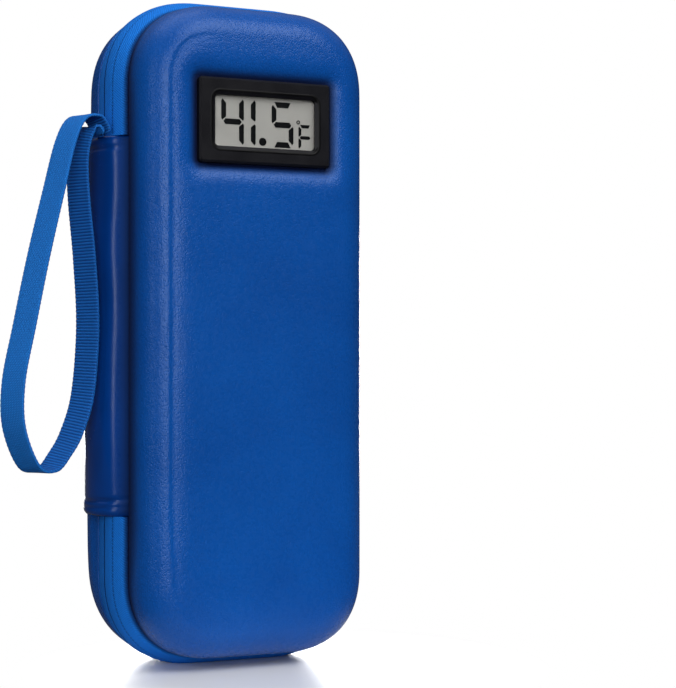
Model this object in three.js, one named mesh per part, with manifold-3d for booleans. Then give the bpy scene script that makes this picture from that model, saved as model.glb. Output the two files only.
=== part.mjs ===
// A hard zip-round cooling case with a temperature display, shut and standing upright.
// Millimetres, +Z up, front towards -Y, spine and strap on -X.
// Depths are measured from the zip plane; insets are measured inwards from the zip's outline.
import * as THREE from 'three';
import { mergeGeometries, mergeVertices } from 'three/addons/utils/BufferGeometryUtils.js';
import Module from 'manifold-3d';

const wasm = await Module();
wasm.setup();

// Outline along the zip
const caseWidth = 91.5;
const caseHeight = 230.5;
const cornerRadius = 32.5;
const cornerFullness = 2.3;
const cornerSteps = 6;
const baseFlat = 0.8;
const baseCentreDepth = 2;

// Shared clearances
const fit = 0.3;
const runningFit = 0.4;
const overshoot = 1;

// Shells and liners: front half (lid) and back half
const lidDepth = 31.5;
const lidRimDepth = 13.5;
const lidRimInset = 4;
const lidEdgeRadius = 12;
const lidDraft = 0.4;
const backDepth = 28.5;
const backRimDepth = 9.5;
const backRimInset = 0.6;
const backEdgeRadius = 12;
const backDraft = 0.5;
const edgeSteps = 5;
const crown = 0.6;
const crownInset = 27;
const shellWall = 3;
const linerThickness = 4.5;
const linerEdgeRadius = 7;

// Rim bindings
const bindingWidth = 7;
const bindingThickness = 4;
const bindingSet = 0.5;

// Zip
const zipLane = 1;
const tapeThickness = 1.4;
const tapeDip = 1.2;
const tapeSteps = 4;
const coilWidth = 2.8;
const coilHeight = 2.2;

// Spine
const spineLow = 52;
const spineTopMargin = 48.5;
const spineBulge = 5.4;
const spineThickness = 1.4;
const spineSteps = 10;
const hemHeight = 5;
const hemRise = 0.5;
const liningThickness = 0.8;

// Temperature display module
const displayDrop = 44.5;
const displayOffset = 1.5;
const bezelWidth = 48;
const bezelTall = 28.6;
const bezelCorner = 1.2;
const bezelSteps = 4;
const bezelProud = 0.2;
const bezelChamfer = 0.7;
const flangeThickness = 2.9;
const recessMargin = 0.6;
const recessFlare = 3.6;
const recessSteps = 6;
const recessEase = 2.5;
const moduleWidth = 46;
const moduleTall = 26.6;
const moduleWall = 1.2;
const rearWall = 2;
const windowWidth = 36.6;
const windowTall = 17.2;
const windowBevel = 1.2;
const bezelLip = 1;
const lensBorder = 1;
const lensThickness = 0.8;
const lcdThickness = 1.5;
const stripTall = 2;
const stripThickness = 1.2;
const stripEndMargin = 2.5;
const boardThickness = 1;
const cellDiameter = 11.6;
const cellThickness = 5.4;
const cellSides = 20;
const stemSides = 12;
const coverThickness = 1.1;
const coverTongue = 0.8;
const coverTongueThickness = 0.4;
const coverLeft = -3.1;
const coverMargin = 0.5;
const coverRibs = 4;
const coverRibSize = 0.5;
const coverRibPitch = 1.4;
const buttonDiameter = 3.6;
const buttonFlange = 0.8;
const buttonFlangeThickness = 2;
const buttonSink = 0.2;
const buttonTravel = 0.5;
const buttonOffset = 14;
const buttonRise = 6;
const switchSize = 5;
const switchDome = 0.6;
const clipTall = 10;
const clipReach = 2.1;
const clipDepth = 4.4;

// Ice packs
const packThickness = 8.5;
const packSideGap = 0.55;
const packHeadroom = 18.9;
const packSeatRise = 1;
const packSoftEdge = 2.5;
const packRimWidth = 5.5;
const packPanelSink = 0.8;

// Net pocket in the lid
const netTop = 101;
const netThickness = 0.8;
const netHemTall = 8.7;
const netHemThickness = 1.3;
const netPitch = 8;
const netBar = 1.4;
const netBorder = 2;

// Foil pocket and pen loops in the back half
const pocketTop = 150;
const pocketThickness = 1.2;
const pocketTrimTall = 6;
const bandLow = 74.5;
const bandTall = 20;
const bandThickness = 1;
const loopReach = 14.5;
const loopHalfWidth = 13;
const loopGap = 4;
const loopSteps = 10;

// Sliders and pulls
const sliderLength = 13.8;
const sliderNose = 9.3;
const sliderTail = 6.6;
const sliderPlate = 1;
const sliderCorner = 1.2;
const sliderCurveSteps = 4;
const sliderPostLength = 4;
const sliderPostThickness = 0.4;
const sliderMeeting = 115;
const sliderGap = 4;
const bailWidth = 2.2;
const bailHalfLength = 4.6;
const bailBar = 0.7;
const bailOpening = 1.7;
const bailCorner = 1.2;
const pullLength = 12.5;
const pullWidth = 6.6;
const pullThickness = 1.1;
const pullCrossbar = 1;
const pullHole = 2.4;

// Wrist strap: both strands leave the top of the spine and hang in one loop.
// Its route runs from the zip's outline at the spine's top end: outwards, back, up
const strapWidth = 10;
const strapThickness = 1.2;
const strapSteps = 56;
const strapTurn = THREE.MathUtils.degToRad(34);
const strapTwistEase = 0.12;
const strapRoute = [
  [1.7, -4, 0.4],
  [2.9, -4, 3],
  [5.7, -4.5, 6],
  [11.4, -6, 5],
  [15.9, -8, -3],
  [20.5, -9.5, -20],
  [26, -10.7, -42],
  [31, -11.6, -65],
  [34.8, -12, -84],
  [34.5, -11.4, -99],
  [28.8, -9, -112],
  [21.9, -6, -113.5],
  [16.9, -4.2, -108.5],
  [12.4, -3.2, -101],
  [8.4, -2.6, -88],
  [6.6, -2.4, -65],
  [7.9, -2.8, -42],
  [9.9, -3.4, -23],
  [10.6, -3.9, -10],
  [9.2, -4.2, -1.4],
  [6.1, -4.2, 2.4],
  [3.3, -4, 0.4],
];

const colours = {
  leather: [0x0d4a96, 0.45, 0],
  tape: [0x1560b4, 0.55, 0],
  coil: [0x0e4180, 0.6, 0],
  foil: [0xc4c7cb, 0.3, 0.9],
  black: [0x141417, 0.8, 0],
  plastic: [0x18181a, 0.5, 0],
  lens: [0xc8ccc8, 0.1, 0],
  lcd: [0xa5a79f, 0.4, 0],
  board: [0x1c5a33, 0.6, 0],
  rubber: [0x9a5a7a, 0.8, 0],
  steel: [0xb9bcc0, 0.25, 1],
  ice: [0x2f6fd0, 0.4, 0],
  strap: [0x1468bd, 0.8, 0],
};

const halfWidth = caseWidth / 2;
const outlineLow = -baseFlat;
const spineHigh = caseHeight - spineTopMargin;
const displayHeight = caseHeight - displayDrop;

// A fullness of 2 makes a corner a circular arc; more makes it squarer
function fullPower(value, fullness) {
  return Math.sign(value) * Math.abs(value) ** (2 / fullness);
}

// Points of a rounded rectangle in the XZ plane, clockwise from its left side
function roundedRing({ left, right, low, high, radius, steps, fullness = 2 }, inset, y) {
  const points = [];
  const corner = radius - inset;
  const centres = [
    [left + radius, high - radius],
    [right - radius, high - radius],
    [right - radius, low + radius],
    [left + radius, low + radius],
  ];
  centres.forEach(([x, z], quarter) => {
    for (let step = 0; step <= steps; step += 1) {
      const angle = Math.PI - (quarter + step / steps) * (Math.PI / 2);
      points.push(new THREE.Vector3(
        x + corner * fullPower(Math.cos(angle), fullness),
        y,
        z + corner * fullPower(Math.sin(angle), fullness),
      ));
    }
  });
  return points;
}

const zipOutline = {
  left: -halfWidth,
  right: halfWidth,
  low: outlineLow,
  high: caseHeight,
  radius: cornerRadius,
  steps: cornerSteps,
  fullness: cornerFullness,
};

function caseRing(inset, y) {
  return roundedRing(zipOutline, inset, y);
}

function signedVolume(positions, index) {
  const a = new THREE.Vector3();
  const b = new THREE.Vector3();
  const c = new THREE.Vector3();
  let volume = 0;
  for (let corner = 0; corner < index.length; corner += 3) {
    a.fromArray(positions, 3 * index[corner]);
    b.fromArray(positions, 3 * index[corner + 1]);
    c.fromArray(positions, 3 * index[corner + 2]);
    volume += a.dot(b.cross(c)) / 6;
  }
  return volume;
}

// Triangles over one flat closed row of points
function capTriangles(points) {
  const normal = new THREE.Vector3();
  points.forEach((point, i) => {
    const next = points[(i + 1) % points.length];
    normal.x += (point.y - next.y) * (point.z + next.z);
    normal.y += (point.z - next.z) * (point.x + next.x);
    normal.z += (point.x - next.x) * (point.y + next.y);
  });
  const turn = new THREE.Quaternion().setFromUnitVectors(normal.normalize(), new THREE.Vector3(0, 0, 1));
  const flat = points.map((point) => {
    const turned = point.clone().applyQuaternion(turn);
    return new THREE.Vector2(turned.x, turned.y);
  });
  return THREE.ShapeUtils.triangulateShape(flat, []);
}

// Closed body through rows of points, each row a closed loop; the rows join up or end in caps
function skin(rows, joined = false) {
  const count = rows[0].length;
  const positions = rows.flat().flatMap((point) => point.toArray());
  const index = [];
  const lastRow = joined ? rows.length : rows.length - 1;
  for (let row = 0; row < lastRow; row += 1) {
    const next = (row + 1) % rows.length;
    for (let column = 0; column < count; column += 1) {
      const side = (column + 1) % count;
      const a = row * count + column;
      const b = row * count + side;
      const c = next * count + side;
      const d = next * count + column;
      index.push(a, b, c, a, c, d);
    }
  }
  if (!joined) {
    const end = (rows.length - 1) * count;
    capTriangles(rows[0]).forEach(([a, b, c]) => index.push(a, c, b));
    capTriangles(rows[rows.length - 1]).forEach(([a, b, c]) => index.push(end + a, end + b, end + c));
  }
  if (signedVolume(positions, index) < 0) index.reverse();
  const geometry = new THREE.BufferGeometry();
  geometry.setAttribute('position', new THREE.Float32BufferAttribute(positions, 3));
  geometry.setIndex(index);
  return geometry;
}

// A section of [inset, y] pairs carried round the case outline
function sweepOutline(section, joined) {
  const rings = section.map(([inset, y]) => caseRing(inset, y));
  const rows = rings[0].map((_, i) => rings.map((ring) => ring[i]));
  return skin(rows, joined);
}

function toSolid(geometry) {
  const bare = geometry.clone();
  bare.deleteAttribute('normal');
  bare.deleteAttribute('uv');
  const merged = mergeVertices(bare, 1e-4);
  return new wasm.Manifold(new wasm.Mesh({
    numProp: 3,
    vertProperties: new Float32Array(merged.attributes.position.array),
    triVerts: new Uint32Array(merged.index.array),
  }));
}

function toGeometry(solid) {
  const mesh = solid.getMesh();
  const geometry = new THREE.BufferGeometry();
  geometry.setAttribute('position', new THREE.Float32BufferAttribute(mesh.vertProperties, 3));
  geometry.setIndex([...mesh.triVerts]);
  return geometry;
}

function cut(geometry, ...tools) {
  return toGeometry(tools.reduce((solid, tool) => solid.subtract(toSolid(tool)), toSolid(geometry)));
}

function join(geometry, ...others) {
  return toGeometry(others.reduce((solid, other) => solid.add(toSolid(other)), toSolid(geometry)));
}

// Box between two corners
function block(x0, x1, y0, y1, z0, z1) {
  const box = new THREE.BoxGeometry(x1 - x0, y1 - y0, z1 - z0);
  return box.translate((x0 + x1) / 2, (y0 + y1) / 2, (z0 + z1) / 2);
}

// Shape in (x, z), thickened along +Y from y0
function frontPlate(shape, y0, thickness, curveSegments = cornerSteps) {
  const plate = new THREE.ExtrudeGeometry(shape, { depth: thickness, bevelEnabled: false, curveSegments });
  return plate.rotateX(Math.PI / 2).translate(0, y0 + thickness, 0);
}

// Shape in (y, z), thickened along +X from x0
function sidePlate(shape, x0, thickness, curveSegments = cornerSteps) {
  const plate = new THREE.ExtrudeGeometry(shape, { depth: thickness, bevelEnabled: false, curveSegments });
  const turn = new THREE.Matrix4().makeBasis(
    new THREE.Vector3(0, 1, 0),
    new THREE.Vector3(0, 0, 1),
    new THREE.Vector3(1, 0, 0),
  );
  return plate.applyMatrix4(turn).translate(x0, 0, 0);
}

// Shape in (x, y), raised along +Z from z0
function upright(shape, z0, height, curveSegments = cornerSteps) {
  const prism = new THREE.ExtrudeGeometry(shape, { depth: height, bevelEnabled: false, curveSegments });
  return prism.translate(0, 0, z0);
}

function polygon(points) {
  return new THREE.Shape(points.map(([x, y]) => new THREE.Vector2(x, y)));
}

// Profile revolved round a Y axis through (x, z); points are [radius, y]
function turned(profile, x, z, sides = cellSides) {
  const lathe = new THREE.LatheGeometry(profile.map(([radius, y]) => new THREE.Vector2(radius, y)), sides);
  const whole = mergeVertices(stripped(lathe), 1e-4);
  if (signedVolume(whole.attributes.position.array, whole.index.array) < 0) {
    whole.setIndex([...whole.index.array].reverse());
  }
  return whole.translate(x, 0, z);
}

function stripped(geometry) {
  geometry.deleteAttribute('normal');
  geometry.deleteAttribute('uv');
  return geometry;
}

function addPiece(parent, name, geometry, colour) {
  const [color, roughness, metalness] = colours[colour];
  const mesh = new THREE.Mesh(geometry, new THREE.MeshStandardMaterial({ color, roughness, metalness }));
  mesh.name = name;
  parent.add(mesh);
  return mesh;
}

// Wall profile of one half, as [inset, depth] from the crowned face out to the rim
function wallProfile({ rimInset, rimDepth, faceDepth, radius, draft }) {
  const shoulder = faceDepth - crown;
  const sideInset = rimInset + draft;
  const profile = [
    [crownInset, faceDepth],
    [(crownInset + sideInset + radius) / 2, faceDepth - crown / 3],
  ];
  for (let step = edgeSteps; step >= 0; step -= 1) {
    const angle = (step / edgeSteps) * (Math.PI / 2);
    profile.push([
      sideInset + radius * (1 - Math.cos(angle)),
      shoulder - radius * (1 - Math.sin(angle)),
    ]);
  }
  profile.push([rimInset, rimDepth]);
  return profile;
}

// A half's dished body of even wall; side is -1 for the lid and 1 for the back
function dish(side, outer, wall) {
  const inner = {
    rimInset: outer.rimInset + wall,
    rimDepth: outer.rimDepth,
    faceDepth: outer.faceDepth - wall,
    radius: Math.max(outer.radius - wall, 1),
    draft: outer.draft,
  };
  const profile = [...wallProfile(outer), ...wallProfile(inner).reverse()];
  return skin(profile.map(([inset, depth]) => caseRing(inset, side * depth)));
}

const lidWall = {
  rimInset: lidRimInset,
  rimDepth: lidRimDepth,
  faceDepth: lidDepth,
  radius: lidEdgeRadius,
  draft: lidDraft,
};
const backWall = {
  rimInset: backRimInset,
  rimDepth: backRimDepth,
  faceDepth: backDepth,
  radius: backEdgeRadius,
  draft: backDraft,
};

function linerWall(shell) {
  return {
    rimInset: shell.rimInset + shellWall + fit,
    rimDepth: shell.rimDepth + fit,
    faceDepth: shell.faceDepth - shellWall - fit,
    radius: Math.max(shell.radius - shellWall, linerEdgeRadius),
    draft: shell.draft,
  };
}

// Depths of the display module, stacked from its face inwards (all negative, towards the front)
const bezelFront = -(lidDepth + bezelProud);
const flangeBack = bezelFront + flangeThickness;
const recessFloor = flangeBack + fit;
const lensFront = bezelFront + bezelLip + fit;
const lensBack = lensFront + lensThickness;
const lcdFront = lensBack + fit;
const lcdBack = lcdFront + lcdThickness;
const stripFront = lcdBack + fit;
const stripBack = stripFront + stripThickness;
const boardFront = stripBack + fit;
const boardBack = boardFront + boardThickness;
const cellFront = boardBack + fit;
const cellBack = cellFront + cellThickness;
const moduleRear = cellBack + fit + coverThickness;
const moduleInner = moduleRear - rearWall;
const moduleSplit = boardBack + moduleWall;

function bezelOutline(width, tall, radius) {
  return {
    left: -width / 2,
    right: width / 2,
    low: displayHeight - tall / 2,
    high: displayHeight + tall / 2,
    radius,
    steps: bezelSteps,
  };
}

// The soft-edged hollow round the bezel, grown outwards by a wall where it backs the shell
function recessBody(outside, floor, grow) {
  const rows = [];
  for (let step = 0; step <= recessSteps; step += 1) {
    const share = step / recessSteps;
    const margin = recessMargin + fit + recessFlare * (1 - share) ** recessEase + grow;
    const outline = bezelOutline(bezelWidth + 2 * margin, bezelTall + 2 * margin, bezelCorner + margin);
    if (step === 0) rows.push(roundedRing(outline, 0, outside));
    rows.push(roundedRing(outline, 0, -lidDepth + share * (floor + lidDepth)));
  }
  return skin(rows);
}

function moduleBlock(width, tall, y0, y1) {
  return block(-width / 2, width / 2, y0, y1, displayHeight - tall / 2, displayHeight + tall / 2);
}

function atDisplay(geometry) {
  return geometry.translate(displayOffset, 0, 0);
}

function frontShell() {
  const backing = cut(
    recessBody(-lidDepth - overshoot, recessFloor + shellWall, shellWall),
    block(-caseWidth, caseWidth, -2 * lidDepth, -lidDepth + shellWall / 2, 0, caseHeight),
  );
  return cut(
    join(dish(-1, lidWall, shellWall), atDisplay(backing)),
    atDisplay(recessBody(-lidDepth - overshoot, recessFloor, 0)),
    atDisplay(moduleBlock(moduleWidth + 2 * fit, moduleTall + 2 * fit, -2 * lidDepth, 0)),
  );
}

function frontLiner() {
  const clipRoom = clipReach + 2 * fit;
  return cut(
    dish(-1, linerWall(lidWall), linerThickness),
    atDisplay(recessBody(-lidDepth - overshoot, recessFloor + shellWall + fit, shellWall + fit)),
    atDisplay(moduleBlock(moduleWidth + 2 * clipRoom, moduleTall + 4 * fit, -2 * lidDepth, 0)),
  );
}

// Rounded strip that covers the cut edges of a shell and its liner
function bindingInset(shell) {
  return shell.rimInset + shellWall + bindingSet;
}

function rimBinding(side, shell) {
  const inset = bindingInset(shell);
  const near = shell.rimDepth - fit;
  const round = bindingThickness / 2;
  const section = [];
  const crownSteps = 8;
  for (let step = 0; step <= crownSteps; step += 1) {
    const angle = Math.PI * (step / crownSteps);
    section.push([
      inset + (bindingWidth / 2) * (1 - Math.cos(angle)),
      side * (near - round - round * Math.sin(angle)),
    ]);
  }
  section.push([inset + bindingWidth, side * near]);
  section.push([inset, side * near]);
  return sweepOutline(section, true);
}

// Zip tape: flat by the zip, dipping under the shell's rim
function tapeOuter(shell) {
  const start = zipLane / 2;
  const end = shell.rimDepth - fit;
  const points = [];
  for (let step = 0; step <= tapeSteps; step += 1) {
    const share = step / tapeSteps;
    points.push([(shell.rimInset + tapeDip) * share ** 2, start + share * (end - start)]);
  }
  return points;
}

function belowFloor() {
  return block(-caseWidth, caseWidth, -2 * lidDepth, 2 * backDepth, -caseHeight, 0);
}

function zipTape(side, shell) {
  const outer = tapeOuter(shell);
  const inner = outer.map(([inset, depth]) => [inset + tapeThickness, depth]).reverse();
  const section = [...outer, ...inner].map(([inset, depth]) => [inset, side * depth]);
  return cut(sweepOutline(section, false), belowFloor());
}

// The coil lies under the tape's edge, clear of its slope
function coilInset(shell) {
  const share = coilWidth / (shell.rimDepth - fit - zipLane / 2);
  return tapeThickness + fit + (shell.rimInset + tapeDip) * share ** 2;
}

const coilFoot = Math.max(coilInset(lidWall), coilInset(backWall)) + coilHeight;

function zipCoil(side, shell) {
  const inset = coilInset(shell);
  const start = zipLane / 2;
  const chamfer = coilHeight / 4;
  const section = [
    [inset, start],
    [inset + coilHeight - chamfer, start],
    [inset + coilHeight, start + chamfer],
    [inset + coilHeight, start + coilWidth - chamfer],
    [inset + coilHeight - chamfer, start + coilWidth],
    [inset, start + coilWidth],
  ];
  return sweepOutline(section.map(([across, depth]) => [across, side * depth]), false);
}

// Short zipped-shut run of zip between the spine and a corner
function zipEnd(low, high) {
  const lid = tapeOuter(lidWall).map(([inset, depth]) => [inset, -depth]);
  const back = tapeOuter(backWall);
  const outer = [...lid.reverse(), ...back];
  const coilSide = zipLane / 2 + coilWidth;
  const inner = outer
    .filter(([, y]) => Math.abs(y) > coilSide)
    .map(([inset, y]) => [inset + tapeThickness, y])
    .reverse();
  const firstLid = inner.findIndex(([, y]) => y < 0);
  const tapeFoot = coilInset(lidWall) - fit;
  inner.splice(
    firstLid,
    0,
    [tapeFoot, coilSide],
    [coilFoot, coilSide],
    [coilFoot, -coilSide],
    [tapeFoot, -coilSide],
  );
  return upright(polygon([...outer, ...inner].map(([inset, y]) => [inset - halfWidth, y])), low, high - low);
}

// Spine: a bulging strip from rim to rim, as [inset, y]
function spineArc(offset) {
  const lidEdge = [lidRimInset + tapeDip / 2, -(lidRimDepth - fit)];
  const backEdge = [backRimInset + tapeDip / 2, backRimDepth - fit];
  const points = [];
  for (let step = 0; step <= spineSteps; step += 1) {
    const share = step / spineSteps;
    const inset = THREE.MathUtils.lerp(lidEdge[0], backEdge[0], share);
    const y = THREE.MathUtils.lerp(lidEdge[1], backEdge[1], share);
    points.push([inset - spineBulge * Math.sin(Math.PI * share) + offset, y]);
  }
  return points;
}

function spineStrip(outerOffset, innerOffset, low, high) {
  const loop = [...spineArc(outerOffset), ...spineArc(innerOffset).reverse()];
  return upright(polygon(loop.map(([inset, y]) => [inset - halfWidth, y])), low, high - low);
}

function spineCover() {
  return join(
    spineStrip(0, spineThickness, spineLow, spineHigh),
    spineStrip(-hemRise, spineThickness, spineLow, spineLow + hemHeight),
  );
}

function spineLining() {
  const offset = spineThickness + fit;
  return spineStrip(offset, offset + liningThickness, spineLow + hemHeight, spineHigh - hemHeight);
}

// Flat webbing carried along its route, turned from the spine's plane as it hangs
function wristStrap() {
  const route = new THREE.CatmullRomCurve3(strapRoute.map(
    ([out, back, up]) => new THREE.Vector3(-halfWidth - out, back, spineHigh + up),
  ));
  const rows = [];
  const up = new THREE.Vector3(0, 0, 1);
  for (let step = 0; step <= strapSteps; step += 1) {
    const share = step / strapSteps;
    const centre = route.getPointAt(share);
    const along = route.getTangentAt(share);
    const turn = strapTurn * Math.abs(Math.sin(Math.PI * share)) ** strapTwistEase;
    const across = new THREE.Vector3(0, 1, 0).applyAxisAngle(up, turn);
    across.addScaledVector(along, -across.dot(along)).normalize();
    const face = new THREE.Vector3().crossVectors(along, across).multiplyScalar(strapThickness / 2);
    across.multiplyScalar(strapWidth / 2);
    rows.push([
      centre.clone().add(across).add(face),
      centre.clone().sub(across).add(face),
      centre.clone().sub(across).sub(face),
      centre.clone().add(across).sub(face),
    ]);
  }
  return skin(rows);
}

const innerWall = { width: moduleWidth - 2 * moduleWall, tall: moduleTall - 2 * moduleWall };

// Display bezel: chamfered flange, skirt through the cut-out, bevelled window
function displayBezel() {
  const outline = bezelOutline(bezelWidth, bezelTall, bezelCorner);
  const flange = skin([
    roundedRing(outline, bezelChamfer, bezelFront),
    roundedRing(outline, 0, bezelFront + bezelChamfer),
    roundedRing(outline, 0, flangeBack),
  ]);
  const skirt = moduleBlock(moduleWidth, moduleTall, flangeBack - fit, moduleSplit - fit);
  const mouth = bezelOutline(windowWidth + 2 * windowBevel, windowTall + 2 * windowBevel, bezelCorner);
  const window = skin([
    roundedRing(mouth, 0, bezelFront - overshoot),
    roundedRing(mouth, 0, bezelFront),
    roundedRing(mouth, windowBevel, bezelFront + bezelLip - fit),
    roundedRing(mouth, windowBevel, lensBack),
  ]);
  const lensWidth = windowWidth + 2 * (lensBorder + fit);
  const lensTall = windowTall + 2 * (lensBorder + fit);
  return cut(
    join(flange, skirt),
    window,
    moduleBlock(lensWidth, lensTall, lensFront - fit, lcdBack),
    moduleBlock(innerWall.width, innerWall.tall, lcdFront - fit, 0),
  );
}

// Battery cover with tongues along both edges; the same section, grown, is its slot
const coverTall = cellDiameter + 2 * coverMargin;

function coverSection(grow) {
  const half = coverTall / 2 + grow;
  const outside = moduleRear + grow;
  const inside = moduleRear - coverThickness - grow;
  const step = moduleRear - coverThickness + coverTongueThickness + grow;
  return polygon([
    [outside, displayHeight - half],
    [outside, displayHeight + half],
    [step, displayHeight + half],
    [step, displayHeight + half + coverTongue],
    [inside, displayHeight + half + coverTongue],
    [inside, displayHeight - half - coverTongue],
    [step, displayHeight - half - coverTongue],
    [step, displayHeight - half],
  ]);
}

function batteryCover() {
  const plate = sidePlate(coverSection(0), coverLeft, moduleWidth / 2 - coverLeft);
  const grooves = [];
  for (let rib = 0; rib < coverRibs; rib += 1) {
    const x = moduleWidth / 2 - coverRibPitch * (rib + 2);
    grooves.push(block(
      x,
      x + coverRibSize,
      moduleRear - coverRibSize / 2,
      moduleRear + overshoot,
      displayHeight - coverTall / 3,
      displayHeight + coverTall / 3,
    ));
  }
  return cut(plate, ...grooves);
}

const buttonHole = buttonDiameter / 2 + fit;
const buttonZ = displayHeight + buttonRise;
const sensorZ = displayHeight - buttonRise;

function moduleCase() {
  const hole = [
    [0, moduleInner - overshoot],
    [buttonHole, moduleInner - overshoot],
    [buttonHole, moduleRear + overshoot],
    [0, moduleRear + overshoot],
  ];
  return cut(
    moduleBlock(moduleWidth, moduleTall, moduleSplit, moduleRear),
    moduleBlock(innerWall.width, innerWall.tall, moduleSplit - overshoot, moduleInner),
    sidePlate(coverSection(fit), coverLeft - fit, moduleWidth),
    block(
      coverLeft - fit,
      moduleWidth / 2 - moduleWall,
      moduleSplit,
      moduleRear,
      displayHeight - coverTall / 2,
      displayHeight + coverTall / 2,
    ),
    turned(hole, -buttonOffset, buttonZ, stemSides),
    turned(hole, -buttonOffset, sensorZ, stemSides),
  );
}

// Flanged stem held behind the module's rear wall
function flangedStem(base) {
  const flangeTop = moduleInner - fit;
  const radius = buttonDiameter / 2;
  return [
    [0, base],
    [radius + buttonFlange, base],
    [radius + buttonFlange, flangeTop],
    [radius, flangeTop],
    [radius, moduleRear - buttonSink - radius / 4],
    [radius * 0.75, moduleRear - buttonSink],
    [0, moduleRear - buttonSink],
  ];
}

const buttonBase = moduleInner - fit - buttonFlangeThickness;

function unitSwitch() {
  const top = buttonBase - buttonTravel - fit;
  const half = switchSize / 2;
  const domeRadius = buttonDiameter / 3;
  const dome = [[0, top - 2 * switchDome], [domeRadius, top - 2 * switchDome], [domeRadius, top], [0, top]];
  return join(
    block(
      -buttonOffset - half,
      -buttonOffset + half,
      boardBack + fit,
      top - switchDome,
      buttonZ - half,
      buttonZ + half,
    ),
    turned(dome, -buttonOffset, buttonZ, stemSides),
  );
}

function springClip(side) {
  const inner = moduleWidth / 2 + fit;
  const seat = recessFloor + shellWall + fit;
  const outline = polygon([
    [side * inner, seat],
    [side * (inner + clipReach), seat],
    [side * (inner + clipReach), seat + clipDepth / 5],
    [side * (inner + clipReach / 4), seat + clipDepth],
    [side * inner, seat + clipDepth],
  ]);
  return upright(outline, displayHeight - clipTall / 2, clipTall);
}

// The packs are sized by the lid, the tighter half
const netInset = bindingInset(lidWall) + bindingWidth + fit;
const packWidth = 2 * (halfWidth - netInset - packSideGap);
const packTall = caseHeight - outlineLow - 2 * netInset - packHeadroom;

// Ice pack: a flat bottle with round ends, a soft edge and a sunk panel on both faces
function icePack(low, y0) {
  const outline = {
    left: -packWidth / 2,
    right: packWidth / 2,
    low,
    high: low + packTall,
    radius: packWidth / 2,
    steps: cornerSteps,
  };
  const half = [
    [packRimWidth + 2 * packSoftEdge, packPanelSink],
    [packRimWidth + packPanelSink, packPanelSink],
    [packRimWidth, 0],
    [packSoftEdge, 0],
    [packSoftEdge * 0.3, packSoftEdge * 0.3],
    [0, packSoftEdge],
  ];
  const front = half.map(([inset, depth]) => roundedRing(outline, inset, y0 + depth));
  const back = half.map(([inset, depth]) => roundedRing(outline, inset, y0 + packThickness - depth));
  return skin([...front, ...back.reverse()]);
}

// Flat panel with the case's lower corners, from the bottom up to a straight top edge
function panelShape(inset, top) {
  const half = halfWidth - inset;
  const lowerCorners = caseRing(inset, 0).slice(2 * (cornerSteps + 1));
  return polygon([[-half, top], [half, top], ...lowerCorners.map((point) => [point.x, point.z])]);
}

const lidPackFront = moduleRear + fit;
const netFront = lidPackFront + packThickness + fit;
const netSewnTop = netTop - netHemTall - fit;

// Diamond net: every second hole of a slanted lattice, kept inside a plain border
function netPocket() {
  const shape = panelShape(netInset, netSewnTop);
  const half = halfWidth - netInset - netBorder;
  const low = outlineLow + netInset + netBorder;
  const high = netSewnTop - netBorder;
  const radius = cornerRadius - netInset - netBorder;
  const reach = netPitch / 2 - netBar * Math.SQRT1_2;
  const inside = (x, z) => {
    if (Math.abs(x) > half || z < low || z > high) return false;
    const dx = Math.max(Math.abs(x) - (half - radius), 0);
    const dz = Math.max(low + radius - z, 0);
    return Math.hypot(dx, dz) < radius;
  };
  const columns = Math.ceil((2 * half) / netPitch);
  const rows = Math.ceil((high - low) / (netPitch / 2));
  const gaps = [];
  for (let row = 0; row <= rows; row += 1) {
    for (let column = -columns; column <= columns; column += 1) {
      const x = (column + (row % 2) / 2) * netPitch;
      const z = high - reach - row * (netPitch / 2);
      const corners = [[x + reach, z], [x, z + reach], [x - reach, z], [x, z - reach]];
      if (corners.every(([cornerX, cornerZ]) => inside(cornerX, cornerZ))) {
        gaps.push(frontPlate(polygon(corners), netFront - netThickness, 3 * netThickness));
      }
    }
  }
  return cut(frontPlate(shape, netFront, netThickness), mergeGeometries(gaps));
}

const panelInset = linerWall(backWall).rimInset + linerThickness + backDraft + fit;
const panelFront = backRimDepth + fit;
const backPackFront = panelFront + pocketThickness + fit;

// Elastic band sewn down at its ends and middle, standing off in two arches
function penLoopBand() {
  const base = panelFront - fit;
  const half = halfWidth - bindingInset(backWall) - bindingWidth - fit;
  const shape = new THREE.Shape();
  const centres = [-(loopGap / 2 + loopHalfWidth), loopGap / 2 + loopHalfWidth];
  const inner = loopHalfWidth - bandThickness;
  shape.moveTo(-half, base);
  shape.lineTo(-half, base - bandThickness);
  centres.forEach((x) => {
    shape.lineTo(x - loopHalfWidth, base - bandThickness);
    shape.absellipse(x, base - bandThickness, loopHalfWidth, loopReach, Math.PI, 2 * Math.PI, false);
  });
  shape.lineTo(half, base - bandThickness);
  shape.lineTo(half, base);
  [...centres].reverse().forEach((x) => {
    shape.lineTo(x + inner, base);
    shape.absellipse(x, base, inner, loopReach, 2 * Math.PI, Math.PI, true);
  });
  shape.closePath();
  return upright(shape, bandLow, bandTall, loopSteps);
}

// Slider body about its own centre: length along Z, nose up, outwards along +X
const plateFoot = runningFit;
const plateTop = plateFoot + sliderPlate;
const bailTop = plateTop + bailOpening + bailBar;
const pullAxis = plateTop + bailOpening / 2;

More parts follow.
